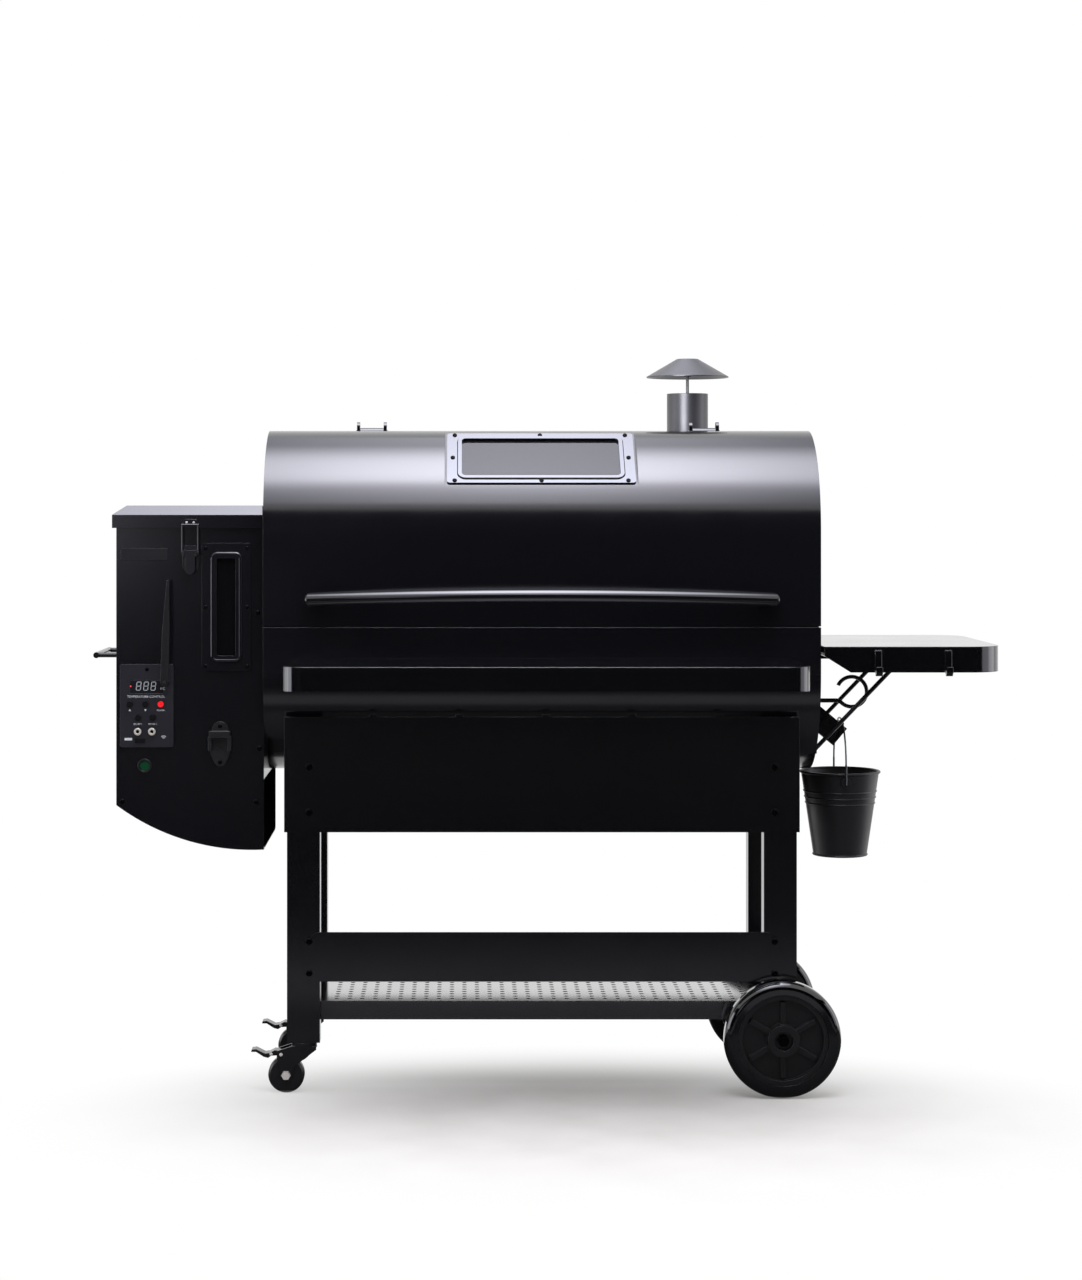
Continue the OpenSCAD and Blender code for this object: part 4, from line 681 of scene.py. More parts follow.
@dataclass(frozen=True)
class HexBolt:
    """A hexagon bolt head with a turned chamfer, on a washer."""

    flats: float = 13.0
    rise: float = 5.0
    washer: float = 17.0

    def drive(self, at: Vector, turn: Matrix, into: Mesh) -> None:
        """Adds the bolt's head and washer to a mesh.

        Args:
            at: Place on the surface.
            turn: Turn that takes +Z to where the head looks.
            into: Mesh that gets the faces.
        """
        r = self.flats / 2 / math.cos(math.radians(30))
        if self.washer > 0:
            w = self.washer / 2
            lathe([(0, 0), (w, 0), (w, 0.9), (w - 0.4, 1.2), (0, 1.2)], 24, turn, at, into)
        top = self.rise
        head = [(0, 0), (r, 0), (r, top - 0.8), (r * 0.86, top), (r * 0.5, top), (0, top - 0.3)]
        lathe(head, 6, turn, at, into)


@dataclass(frozen=True)
class Rivet:
    """A domed rivet or pin end."""

    head: float = 6.0
    rise: float = 1.8

    def drive(self, at: Vector, turn: Matrix, into: Mesh) -> None:
        """Adds the rivet's dome to a mesh.

        Args:
            at: Place on the surface.
            turn: Turn that takes +Z to where the dome looks.
            into: Mesh that gets the faces.
        """
        crown = dome(self.head / 2, self.rise, (0, 25, 50, 72))
        lathe([(0, 0), *crown, (0, self.rise)], 20, turn, at, into)


Fastener = Screw | HexBolt | Rivet


def fasten(
    shop: Workshop, name: str, kind: Fastener, spots: Iterable[Vector], turn: Matrix, finish: str, body: Body
) -> None:
    """Makes one piece out of a set of like fasteners.

    Args:
        shop: Workshop that makes the piece.
        name: Plain name of the piece.
        kind: Fastener to repeat.
        spots: Places on the surface, in metres.
        turn: Turn that takes +Z to where the heads look.
        finish: Name of the finish.
        body: CAD body that carries them.
    """
    mesh = bmesh.new()
    for spot in spots:
        kind.drive(spot, turn, mesh)
    shop.piece(name, mesh, finish, body)


def mount(
    shop: Workshop,
    name: str,
    outline: Outline,
    depth: float,
    turn: Matrix,
    spots: Iterable[Vector],
    finish: str,
) -> None:
    """Makes one piece out of a set of like plates on the grill's body.

    Args:
        shop: Workshop that makes the piece.
        name: Plain name of the piece.
        outline: Corners of a plate in millimetres.
        depth: Its thickness in millimetres.
        turn: Turn that takes +Z to where the plates look.
        spots: Places on the surface, in metres.
        finish: Name of the finish.
    """
    mesh = bmesh.new()
    for spot in spots:
        slab(outline, depth, turn, spot, mesh)
    shop.piece(name, mesh, finish, Body.GRILL)


@dataclass
class LidTrim:
    """Fittings of the barrel's lid."""

    window_screw: Screw = Screw(8.4, 3.0)
    corner_screw: Pair = (159.0, 68.5)
    side_screw: float = 162.5
    # The window's flat: its slope, and its distance from the middle of the barrel's upper round
    flat_angle: float = 38.5
    flat_reach: float = 172.89
    upper_centre: float = 1023.0
    frame_lift: float = 3.0
    # Width, height and corner of the middle line of the bead round the pane
    bead: Point = (301.0, 121.0, 12.0)
    bead_radius: float = 2.4
    # Gaps and radius of the thin black beads beside the pressed bead, which paint its dark reflected outline
    dark_outline_gaps: Pair = (-3.2, 3.2)
    dark_outline_radius: float = 0.9
    bead_smooth: float = 50.0
    handle_end: Point = (424.5, -205.5, 901.0)
    handle_tilt: float = 12.4
    plug_radius: float = 11.4
    plug_rise: float = 7.0
    plug_foot: float = -1.0
    strap: Point = (318.0, 26.0, 1211.6)
    strap_rivet: Rivet = Rivet(9.0, 2.6)
    strap_spread: float = 13.0

    def on_flat(self, across: float, up: float, out: float) -> Vector:
        """Gives a place on the window's flat.

        Args:
            across: Millimetres to the right of its middle.
            up: Millimetres up the slope from its middle.
            out: Millimetres out of the flat.

        Returns:
            The place in the part's frame.
        """
        a = math.radians(self.flat_angle)
        reach = self.flat_reach + out
        y = -reach * math.sin(a) + up * math.cos(a)
        z = self.upper_centre + reach * math.cos(a) + up * math.sin(a)
        return place(across, y, z)

    def build(self, shop: Workshop) -> None:
        """Makes the lid's trim.

        Args:
            shop: Workshop that makes the pieces.
        """
        turn = Matrix.Rotation(math.radians(self.flat_angle), 4, "X")
        w, h = self.corner_screw
        spots = [(x, y) for x in (-w, 0, w) for y in (-h, h)] + [(-self.side_screw, 0), (self.side_screw, 0)]
        heads = [self.on_flat(x, y, self.frame_lift) for x, y in spots]
        fasten(shop, "window_screws", self.window_screw, heads, turn, "black_screw", Body.LID)
        self._window_beads(shop)
        self._handle_ends(shop)
        x, y, z = self.strap
        straps = [place(s * x + d * self.strap_spread, y, z) for s in (-1, 1) for d in (-1, 1)]
        fasten(shop, "strap_bolts", self.strap_rivet, straps, Facing.UP.value, "black_screw", Body.LID)

    def _window_beads(self, shop: Workshop) -> None:
        """Lays the pressed bead round the pane, and along each side of it a thin black rubber bead that paints
        the dark reflection on the bead's slopes.

        Args:
            shop: Workshop that makes the pieces.
        """
        w, h, corner = self.bead
        mesh = bmesh.new()
        bead(self.bead, self.bead_radius, self._on_frame, mesh)
        shop.piece("window_bead", mesh, "frame_steel", Body.LID, self.bead_smooth)
        # Thin black beads beside the pressed bead: a painted reflection, dark lines where its slopes mirror the
        # dark
        mesh = bmesh.new()
        for gap in self.dark_outline_gaps:
            bead((w + 2 * gap, h + 2 * gap, corner + gap), self.dark_outline_radius, self._on_frame, mesh)
        shop.piece("window_dark_outline", mesh, "rubber", Body.LID, self.bead_smooth)

    def _on_frame(self, across: float, up: float, out: float) -> Vector:
        """Gives a place on the window frame's face."""
        return self.on_flat(across, up, self.frame_lift + out)

    def _handle_ends(self, shop: Workshop) -> None:
        """Closes the handle's tube with domed plugs.

        Args:
            shop: Workshop that makes the pieces.
        """
        mesh = bmesh.new()
        crown = dome(self.plug_radius, self.plug_rise, (0, 20, 40, 60, 78))
        profile = [(0, self.plug_foot), (self.plug_radius, self.plug_foot), *crown, (0, self.plug_rise)]
        x, y, z = self.handle_end
        for side in (-1, 1):
            tilt = Matrix.Rotation(math.radians(side * self.handle_tilt), 4, "Z")
            turn = tilt @ Matrix.Rotation(math.radians(side * 90), 4, "Y")
            lathe(profile, 32, turn, place(side * x, y, z), mesh)
        shop.piece("handle_plugs", mesh, "satin_black", Body.LID)


@dataclass
class ChimneyTrim:
    """Fittings of the flue."""

    axis_x: float = 301.0
    stub_height: float = 933.0
    flange_radius: float = 42.0
    flange_face: float = 193.0
    bolt: HexBolt = HexBolt(8.0, 3.5, 0.0)

    def build(self, shop: Workshop) -> None:
        """Makes the flange's bolts.

        Args:
            shop: Workshop that makes the pieces.
        """
        spots = []
        for a in (45, 135, 225, 315):
            x = self.axis_x + self.flange_radius * math.cos(math.radians(a))
            z = self.stub_height + self.flange_radius * math.sin(math.radians(a))
            spots.append(place(x, self.flange_face, z))
        fasten(shop, "flange_bolts", self.bolt, spots, Facing.BACK.value, "black_screw", Body.GRILL)


@dataclass
class CartTrim:
    """Bolts of the cart, and the bright bolts and rivets of its casters."""

    front_face: float = -187.0
    back_face: float = 127.0
    rail_bolts: tuple[float, ...] = (221.0, 279.0)
    back_rail_bolt: float = 227.0
    apron_bolts: tuple[float, ...] = (514.0, 596.0)
    bolt_x: float = 424.0
    bolt: Screw = Screw(13.0, 4.0, 1.6)
    # X and Z of the axle, of the pin that the pedal turns on and of the pedal's own rivet
    caster_axle: Pair = (-466.5, 33.0)
    brake_pin: Pair = (-475.5, 71.0)
    pedal_rivet: Pair = (-494.0, 71.0)
    caster_rows: dict[str, float] = field(default_factory=lambda: {"front": -164.0, "rear": 104.0})
    caster_bolt: HexBolt = HexBolt(15.2, 5.3, 0.0)
    brake_rivet: Rivet = Rivet(6.4, 1.4)
    fork_half: float = 16.5
    pin_half: float = 18.5
    brake_half: float = 13.0

    def build(self, shop: Workshop) -> None:
        """Makes the cart's fasteners.

        Args:
            shop: Workshop that makes the pieces.
        """
        sides = (
            ("front", self.front_face, self.rail_bolts, Facing.FRONT),
            ("back", self.back_face, (self.back_rail_bolt,), Facing.BACK),
        )
        for name, face, rail, turn in sides:
            spots = [place(s * self.bolt_x, face, z) for s in (-1, 1) for z in rail + self.apron_bolts]
            fasten(shop, f"cart_bolts_{name}", self.bolt, spots, turn.value, "black_screw", Body.GRILL)
        for name, row in self.caster_rows.items():
            for side, word, turn in ((-1, "near", Facing.FRONT.value), (1, "far", Facing.BACK.value)):
                head = self._beside(self.caster_axle, row + side * self.fork_half)
                bolts = f"caster_bolt_{name}_{word}"
                fasten(shop, bolts, self.caster_bolt, [head], turn, "bright_bolt", Body(f"fork_{name}"))
                pin = self._beside(self.brake_pin, row + side * self.pin_half)
                rivet = self._beside(self.pedal_rivet, row + side * self.brake_half)
                rivets = f"brake_rivets_{name}_{word}"
                pedal = Body(f"brake_{name}")
                fasten(shop, rivets, self.brake_rivet, [pin, rivet], turn, "bright_bolt", pedal)

    def _beside(self, spot: Pair, y: float) -> Vector:
        """Gives the place of an X and Z at one side of a caster."""
        return place(spot[0], y, spot[1])


@dataclass
class HopperTrim:
    """Fasteners, window bead and plates of the hopper, and the fittings on its back."""

    face: float = -165.0
    screw: Screw = Screw(9.0, 2.6)
    screws: tuple[Pair, ...] = ((-767.0, 531.0), (-523.0, 530.0), (-516.0, 628.0), (-519.0, 876.0))
    sight: Pair = (-576.5, 886.5)
    sight_face: float = -168.0
    sight_screw: Screw = Screw(7.0, 2.4)
    sight_spread: Pair = (38.0, 108.0)
    # Width, height and corner of the middle line of the bead round the pane
    sight_bead: Point = (51.0, 195.0, 8.5)
    sight_bead_radius: float = 3.6
    bead_smooth: float = 50.0
    opener: Pair = (-588.0, 636.0)
    opener_face: float = -168.0
    opener_spread: float = 33.0
    cover_screw: Screw = Screw(8.0, 2.4)
    keeper: Pair = (-642.0, 1041.0)
    keeper_face: float = -174.0
    keeper_rivet: Rivet = Rivet(4.6, 1.2)
    keeper_spread: float = 6.5
    # Middle in X and Z, width, height, corner and thickness of each plate
    plate: tuple[float, ...] = (-727.0, 983.0, 86.0, 22.0, 2.0, 0.6)
    cover: tuple[float, ...] = (-640.0, 690.0, 190.0, 150.0, 6.0, 1.5)
    cover_margin: float = 9.0
    # Middle of a matte black sheet on the face that looks under the barrel, and its size: painted shade, a dark
    # sheet where that face lies in shade
    shade_sheet_middle: Point = (-508.0, -15.0, 508.0)
    shade_sheet_size: Point = (124.0, 290.0, 8.0)
    shade_sheet_thick: float = 1.0
    back: float = 135.0
    louvres: int = 6
    louvre_pitch: float = 17.0
    # Offset and width of a louvre, as shares of the cover's width
    louvre_shares: Pair = (0.22, 0.36)
    # Section of a louvre: how far out, how far up and how much narrower at each end
    louvre_section: tuple[Point, ...] = (
        (0.0, 0.0, 0.0),
        (4.0, 0.0, 3.0),
        (4.2, 1.2, 3.0),
        (2.6, 5.0, 3.6),
        (0.0, 9.0, 5.0),
    )
    inlet: Pair = (-640.0, 575.0)
    inlet_plate: Point = (50.0, 28.0, 4.0)
    inlet_socket: Point = (27.0, 19.0, 3.0)
    inlet_pin: Point = (2.0, 5.0, 0.6)
    # Thickness of the plate, the socket and a pin
    inlet_thick: Point = (2.0, 1.2, 0.8)
    inlet_pins: tuple[Pair, ...] = ((-7.0, -2.0), (0.0, 3.0), (7.0, -2.0))
    inlet_screw: Screw = Screw(6.0, 1.8)
    inlet_spread: float = 20.0

    def build(self, shop: Workshop) -> None:
        """Makes the hopper's trim.

        Args:
            shop: Workshop that makes the pieces.
        """
        front = Facing.FRONT.value
        spots = [place(x, self.face, z) for x, z in self.screws]
        fasten(shop, "hopper_screws", self.screw, spots, front, "black_screw", Body.GRILL)
        w, h = self.sight_spread
        spots = [self._on_sight(i * w, k * h, 0.0) for i in (-1, 1) for k in (-1, 0, 1)]
        fasten(shop, "sight_screws", self.sight_screw, spots, front, "black_screw", Body.GRILL)
        mesh = bmesh.new()
        bead(self.sight_bead, self.sight_bead_radius, self._on_sight, mesh)
        shop.piece("sight_bead", mesh, "satin_black", Body.GRILL, self.bead_smooth)
        x, z = self.opener
        spots = [place(x, self.opener_face, z + k * self.opener_spread) for k in (1, -1)]
        fasten(shop, "opener_screws", self.cover_screw, spots, front, "black_screw", Body.GRILL)
        x, z = self.keeper
        spots = [place(x + i * self.keeper_spread, self.keeper_face, z) for i in (-1, 1)]
        fasten(shop, "keeper_rivets", self.keeper_rivet, spots, front, "bright_bolt", Body.HOPPER_LID)
        x, z, w, h, corner, thick = self.plate
        outline = round_outline(w, h, corner)
        mount(shop, "label_plate", outline, thick, front, [place(x, self.face, z)], "plate")
        # A matte black sheet on the hopper's side under the barrel: painted shade
        outline = round_outline(*self.shade_sheet_size)
        right = Facing.RIGHT.value
        mount(shop, "hopper_painted_shade_sheet", outline, self.shade_sheet_thick, right, [place(*self.shade_sheet_middle)], "felt")
        self._service_cover(shop)
        self._power_inlet(shop)

    def _on_sight(self, across: float, up: float, out: float) -> Vector:
        """Gives a place on the sight window's frame."""
        return place(self.sight[0] + across, self.sight_face - out, self.sight[1] + up)

    def _service_cover(self, shop: Workshop) -> None:
        """Screws a louvred cover over the fan and motor, on the hopper's back.

        Args:
            shop: Workshop that makes the pieces.
        """
        turn = Facing.BACK.value
        x, z, w, h, corner, thick = self.cover
        face = self.back + thick
        mesh = bmesh.new()
        slab(round_outline(w, h, corner), thick, turn, place(x, self.back, z), mesh)
        aside, wide = self.louvre_shares
        for row in range(self.louvres):
            low = z + (row - self.louvres / 2) * self.louvre_pitch
            for side in (-1, 1):
                self._louvre(mesh, x + side * w * aside, face, low, w * wide)
        shop.piece("service_cover", mesh, "satin_black", Body.GRILL)
        w, h = w / 2 - self.cover_margin, h / 2 - self.cover_margin
        spots = [place(x + i * w, face, z + k * h) for i in (-1, 1) for k in (-1, 1)]
        fasten(shop, "cover_screws", self.cover_screw, spots, turn, "black_screw", Body.GRILL)

    def _louvre(self, mesh: Mesh, x: float, face: float, low: float, width: float) -> None:
        """Adds one pressed louvre, open downwards.

        Args:
            mesh: Mesh that gets the faces.
            x: Its middle, in millimetres.
            face: Y of the sheet that it is pressed from.
            low: Height of its lip.
            width: Its width in millimetres.
        """
        rows = []
        for out, up, narrow in self.louvre_section:
            half = width / 2 - narrow
            rows.append([mesh.verts.new(place(x + s * half, face + out, low + up)) for s in (-1, 1)])
        for low_row, high_row in zip(rows, rows[1:]):
            mesh.faces.new([low_row[0], low_row[1], high_row[1], high_row[0]])
        mesh.faces.new([rows[-1][0], rows[-1][1], rows[0][1], rows[0][0]])
        for side in (0, 1):
            mesh.faces.new([row[side] for row in rows])

    def _power_inlet(self, shop: Workshop) -> None:
        """Fits a plain mains inlet low on the hopper's back.

        Args:
            shop: Workshop that makes the pieces.
        """
        turn = Facing.BACK.value
        x, z = self.inlet
        plate, socket, pin = self.inlet_thick
        level = self.back
        outline = round_outline(*self.inlet_plate)
        mount(shop, "inlet_plate", outline, plate, turn, [place(x, level, z)], "dark_plastic")
        level += plate
        screws = [place(x + s * self.inlet_spread, level, z) for s in (-1, 1)]
        outline = round_outline(*self.inlet_socket)
        mount(shop, "inlet_socket", outline, socket, turn, [place(x, level, z)], "rubber")
        level += socket
        spots = [place(x + dx, level, z + dz) for dx, dz in self.inlet_pins]
        # The pins' pale coat is a painted highlight that stands for bright plating
        mount(shop, "inlet_pins", round_outline(*self.inlet_pin, 2), pin, turn, spots, "nickel")
        fasten(shop, "inlet_screws", self.inlet_screw, screws, turn, "black_screw", Body.GRILL)


@dataclass
class ControlFace:
    """Printed and lit parts of the controller's face, measured from its upper left corner."""

    corner: Pair = (-771.0, 782.0)
    face: float = -169.0
    digits: int = 3
    digit: Pair = (7.8, 15.0)
    digit_start: float = 30.6
    digit_pitch: float = 13.4
    digit_down: float = 40.0
    digit_slant: float = 0.12
    digit_thick: float = 0.25
    bar: float = 1.4
    lamp: Rivet = Rivet(3.2, 0.9)
    lamp_at: Pair = (19.9, 40.3)
    screw: Screw = Screw(7.0, 2.0)
    screw_at: Pair = (49.7, 9.0)
    ink_thick: float = 0.2
    # Corners of an arrow that points up, then where each one stands and its way, up or down
    arrow: Outline = ((-2.4, -1.8), (2.4, -1.8), (0.0, 2.4))
    arrows: tuple[tuple[float, int], ...] = ((18.3, 1), (46.8, -1))
    arrow_down: float = 84.0
    bar_mark: Pair = (14.0, 4.4)
    bar_mark_at: Pair = (15.5, 137.0)
    # Middle of the radio sign, the radii of its arcs, their stroke and the straight bits of each
    radio_at: Pair = (80.0, 137.0)
    radio_arcs: tuple[float, ...] = (2.2, 4.2, 6.2)
    radio_stroke: float = 0.9
    radio_from: float = 45.0
    radio_step: float = 15.0
    radio_bits: int = 6
    jacks: tuple[float, ...] = (33.0, 59.0)
    jack_down: float = 123.0
    jack_rise: float = 4.0
    # Radius and height along the section of a jack's turned ring
    jack_ring: Outline = (
        (3.1, 0.0),
        (6.9, 0.0),
        (6.9, 0.6),
        (5.6, 1.6),
        (3.9, 1.6),
        (3.1, 0.9),
        (3.1, 0.0),
    )
    jack_steps: int = 24
    # Each word with its middle and the height of its letters' body
    words: tuple[tuple[str, float, float, float], ...] = (
        ("TEMPERATURE CONTROL", 48.0, 59.5, 5.9),
        ("POWER", 74.8, 84.5, 4.2),
        ("PROBE 1", 33.0, 109.5, 4.2),
        ("PROBE 2", 60.0, 109.5, 4.2),
        ("F/C", 78.5, 45.0, 6.0),
    )
    word_half_thick: float = 0.1
    word_steps: int = 3

    def spot(self, right: float, down: float, out: float = 0.0) -> Vector:
        """Gives a place on the face from its upper left corner."""
        return place(self.corner[0] + right, self.face - out, self.corner[1] - down)

    def build(self, shop: Workshop) -> None:
        """Makes the display's digits, the lamp, the marks and the words.

        Args:
            shop: Workshop that makes the pieces.
        """
        front = Facing.FRONT.value
        self._digits(shop)
        fasten(shop, "display_lamp", self.lamp, [self.spot(*self.lamp_at)], front, "red", Body.GRILL)
        fasten(shop, "panel_screw", self.screw, [self.spot(*self.screw_at)], front, "black_screw", Body.GRILL)
        self._marks(shop)
        mesh = bmesh.new()
        for right in self.jacks:
            at = self.spot(right, self.jack_down, self.jack_rise)
            lathe(self.jack_ring, self.jack_steps, front, at, mesh)
        bmesh.ops.remove_doubles(mesh, verts=mesh.verts, dist=TINY)
        # The rings' pale coat is a painted highlight that stands for their bright plating
        shop.piece("jack_rings", mesh, "nickel", Body.GRILL)
        for text, right, down, size in self.words:
            self._word(shop, text, right, down, size)

    def _marks(self, shop: Workshop) -> None:
        """Prints the arrows, the plain bar and the radio sign.

        Args:
            shop: Workshop that makes the piece.
        """
        front = Facing.FRONT.value
        mesh = bmesh.new()
        for right, way in self.arrows:
            outline = [(x, y * way) for x, y in self.arrow][::way]
            slab(outline, self.ink_thick, front, self.spot(right, self.arrow_down), mesh)
        slab(bar_outline(*self.bar_mark), self.ink_thick, front, self.spot(*self.bar_mark_at), mesh)
        right, down = self.radio_at
        half_step = self.radio_step / 2
        for radius in self.radio_arcs:
            outline = bar_outline(2 * radius * math.tan(math.radians(half_step)), self.radio_stroke)
            for bit in range(self.radio_bits):
                a = math.radians(self.radio_from + self.radio_step * bit + half_step)
                turn = front @ Matrix.Rotation(a - math.pi / 2, 4, "Z")
                at = self.spot(right + radius * math.cos(a), down - radius * math.sin(a))
                slab(outline, self.ink_thick, turn, at, mesh)
        shop.piece("panel_marks", mesh, "ink", Body.GRILL)

    def _digits(self, shop: Workshop) -> None:
        """Lays out the display's figures, of seven bars each.

        Args:
            shop: Workshop that makes the piece.
        """
        w, h = self.digit
        top, upper = self.digit_down - h / 2, self.digit_down - h / 4
        mesh = bmesh.new()
        for i in range(self.digits):
            left = self.digit_start + i * self.digit_pitch
            for row in (0, 1, 2):
                self._bar(mesh, left + w / 2, top + row * h / 2, w - self.bar, self.bar)
            for column in (0, 1):
                for row in (0, 1):
                    self._bar(mesh, left + column * w, upper + row * h / 2, self.bar, h / 2 - self.bar)
        shop.piece("display_digits", mesh, "digit", Body.GRILL)

    def _bar(self, mesh: Mesh, right: float, down: float, width: float, height: float) -> None:
        """Adds one slanted bar of a figure.

        Args:
            mesh: Mesh that gets the faces.
            right: Millimetres right of the corner, to its middle.
            down: Millimetres below the corner, to its middle.
            width: Its width in millimetres.
            height: Its height in millimetres.
        """
        lean = (self.digit_down - down) * self.digit_slant
        outline = [(x + y * self.digit_slant, y) for x, y in bar_outline(width, height)]
        slab(outline, self.digit_thick, Facing.FRONT.value, self.spot(right + lean, down), mesh)

    def _word(self, shop: Workshop, text: str, right: float, down: float, size: float) -> None:
        """Prints one plain word on the face.

        Args:
            shop: Workshop that makes the piece.
            text: The word.
            right: Millimetres right of the corner, to its middle.
            down: Millimetres below the corner, to its middle.
            size: Height of its letters' body in millimetres.
        """
        curve = bpy.data.curves.new("lettering", "FONT")
        curve.body = text
        curve.size = size * MM
        curve.extrude = self.word_half_thick * MM
        curve.align_x = "CENTER"
        curve.align_y = "CENTER"
        curve.resolution_u = self.word_steps
        holder = bpy.data.objects.new("lettering", curve)
        bpy.context.scene.collection.objects.link(holder)
        bpy.context.view_layer.update()
        shaped = holder.evaluated_get(bpy.context.evaluated_depsgraph_get())
        flat = bpy.data.meshes.new_from_object(shaped)
        bpy.data.objects.remove(holder)
        mesh = bmesh.new()
        mesh.from_mesh(flat)
        stand = Matrix.Translation(self.spot(right, down, self.word_half_thick)) @ Facing.FRONT.value
        bmesh.ops.transform(mesh, matrix=stand, verts=mesh.verts)
        bmesh.ops.remove_doubles(mesh, verts=mesh.verts, dist=TINY)
        shop.piece("word_" + text.lower().replace(" ", "_").replace("/", "_"), mesh, "ink", Body.GRILL)


@dataclass(frozen=True)
class Softbox:
    """One soft lamp, in metres and watts, and the CAD nodes that it is masked to."""

    name: str
    at: Point
    size: Pair
    power: float
    aim: Point
    lit: tuple[str, ...] = ()

    def hang(self, colour: str, nodes: dict[str, bpy.types.Object]) -> None:
        """Hangs the lamp, and masks it off where it falls on some nodes alone.

        Args:
            colour: Colour of its light, as an sRGB hex value.
            nodes: The CAD nodes by name.
        """
        data = bpy.data.lights.new(self.name, "AREA")
        data.shape = "RECTANGLE"
        data.size, data.size_y = self.size
        data.energy = self.power
        data.color = linear(colour)[:3]
        made = bpy.data.objects.new(self.name, data)
        made.location = self.at
        made.rotation_euler = (Vector(self.aim) - Vector(self.at)).to_track_quat("-Z", "Y").to_euler()
        made.visible_camera = False
        bpy.context.scene.collection.objects.link(made)
        if self.lit:
            masked = bpy.data.collections.new(f"{self.name}_only")
            for name in self.lit:
                masked.objects.link(nodes[name])
            made.light_linking.receiver_collection = masked


@dataclass
class Studio:
    """Floor, light and camera of the photograph, in metres."""

    camera_at: Point = (-0.1515, -5.00075, 1.073)
    focal_px: float = 2676.0
    axis_px: Pair = (461.5, 505.0)
    sensor: float = 36.0
    floor_half: float = 9.0
    floor_tones: tuple[str, str] = ("#d6d4cd", "#bfbcb4")
    scuff_scale: float = 6.0
    scuff_detail: float = 6.0
    # Shift and stretch of the part of the floor that shows its tone, and where it begins and ends to fade
    pool_shift: Point = (-0.04, 0.32, 0.0)
    pool_stretch: Point = (0.62, 1.0, 1.0)
    pool_fade: Pair = (0.15, 0.66)
    # Strength of the surroundings as light, and where they are seen
    surroundings: Pair = (0.55, 1.0)
    black: float = 0.004
    cloth_half: float = 5.0
    cloth_far: float = -6.5
    cloth_near: float = -0.9
    cloth_low: float = 0.02
    back_cloth_top: float = 4.0
    side_cloth_top: float = 3.2
    floor_cloth_lift: float = 0.004
    # Back edge, front edge and tone of each dark strip on the floor, a painted reflection: gloss sees these
    # tones where the camera sees the pale floor
    floor_reflection_bands: tuple[Point, ...] = (
        (0.3, -0.75, 0.07),
        (-0.75, -1.0, 0.03),
        (-1.0, -1.5, 0.16),
        (-1.5, -1.9, 0.035),
        (-1.9, -6.5, 0.004),
    )
    lamp_colour: str = "#f2f2ff"
    # A strip beside each end of the grill, a dim panel far to the left of the camera, a bank on each side in
    # front, which picks out the turned edges, and a lamp each for the flue alone and the hopper's lid alone
    lamps: tuple[Softbox, ...] = (
        Softbox("left_strip", (-3.1, 0.2, 0.9), (0.9, 1.5), 6.0, (0.0, -0.3, 0.9)),
        Softbox("right_strip", (3.1, 0.2, 0.9), (0.9, 1.5), 6.0, (0.0, -0.3, 0.9)),
        Softbox("left_panel", (-2.1, -6.2, 1.5), (1.2, 1.4), 5.0, (-0.6, 0.0, 0.9)),
        Softbox("left_bank", (-3.5, -1.25, 1.0), (2.0, 1.5), 26.0, (-0.5, -1.25, 0.9)),
        Softbox("right_bank", (3.5, -1.25, 1.0), (2.0, 1.5), 11.0, (0.5, -1.25, 0.9)),
        Softbox(
            "flue_lamp",
            (-1.5, -3.4, 1.65),
            (2.0, 1.8),
            210.0,
            (0.3, 0.3, 1.25),
            ("chimney_pipe", "chimney_cap"),
        ),
        Softbox("hopper_lamp", (-0.95, 0.55, 3.2), (1.0, 0.8), 9.0, (-0.65, -0.17, 1.07), ("hopper_lid",)),
    )
    diffuser_height: float = 3.3
    diffuser_half: float = 1.3
    diffuser_power: float = 10.2
    # Share of the diffuser's power over its middle line and at its sides
    diffuser_sides: Pair = (1.32, 0.42)
    diffuser_reach: Pair = (-3.7, 2.2)
    # Share of the diffuser's power at each place from front to back
    diffuser_glow: tuple[Pair, ...] = (
        (-3.7, 0.25),
        (-2.77, 0.3),
        (-2.04, 0.4),
        (-1.63, 0.64),
        (-1.3, 0.94),
        (-0.85, 1.0),
        (-0.25, 0.87),
        (0.09, 0.69),
        (0.48, 0.42),
        (0.91, 0.21),
        (2.2, 0.14),
    )

    def build(self, nodes: dict[str, bpy.types.Object]) -> None:
        """Sets up the view, the floor, the lamps and the world.

        Args:
            nodes: The CAD nodes by name.
        """
        bpy.context.scene.view_settings.view_transform = "Standard"
        self._camera()
        self._floor()
        self._cloths()
        self._world()
        self._ceiling()
        for lamp in self.lamps:
            lamp.hang(self.lamp_colour, nodes)

    def _camera(self) -> None:
        """Puts the camera where the photograph was taken."""
        data = bpy.data.cameras.new("camera")
        data.sensor_width = self.sensor
        data.lens = self.focal_px * self.sensor / IMAGE_HEIGHT
        data.shift_x = (IMAGE_WIDTH / 2 - self.axis_px[0]) / IMAGE_HEIGHT
        data.shift_y = -(IMAGE_HEIGHT / 2 - self.axis_px[1]) / IMAGE_HEIGHT
        made = bpy.data.objects.new("camera", data)
        made.location = self.camera_at
        made.rotation_euler = (math.radians(90), 0, 0)
        bpy.context.scene.collection.objects.link(made)
        bpy.context.scene.camera = made

    def _sheet(self, name: str, corners: Sequence[Point], made: bpy.types.Material) -> bpy.types.Object:
        """Lays one flat sheet of the stage.

        Args:
            name: Plain name of the sheet.
            corners: Its corners in metres.
            made: Its material.

        Returns:
            The sheet.
        """
        data = bpy.data.meshes.new(name)
        data.from_pydata([Vector(c) for c in corners], [], [tuple(range(len(corners)))])
        data.materials.append(made)
        sheet = bpy.data.objects.new(name, data)
        bpy.context.scene.collection.objects.link(sheet)
        return sheet

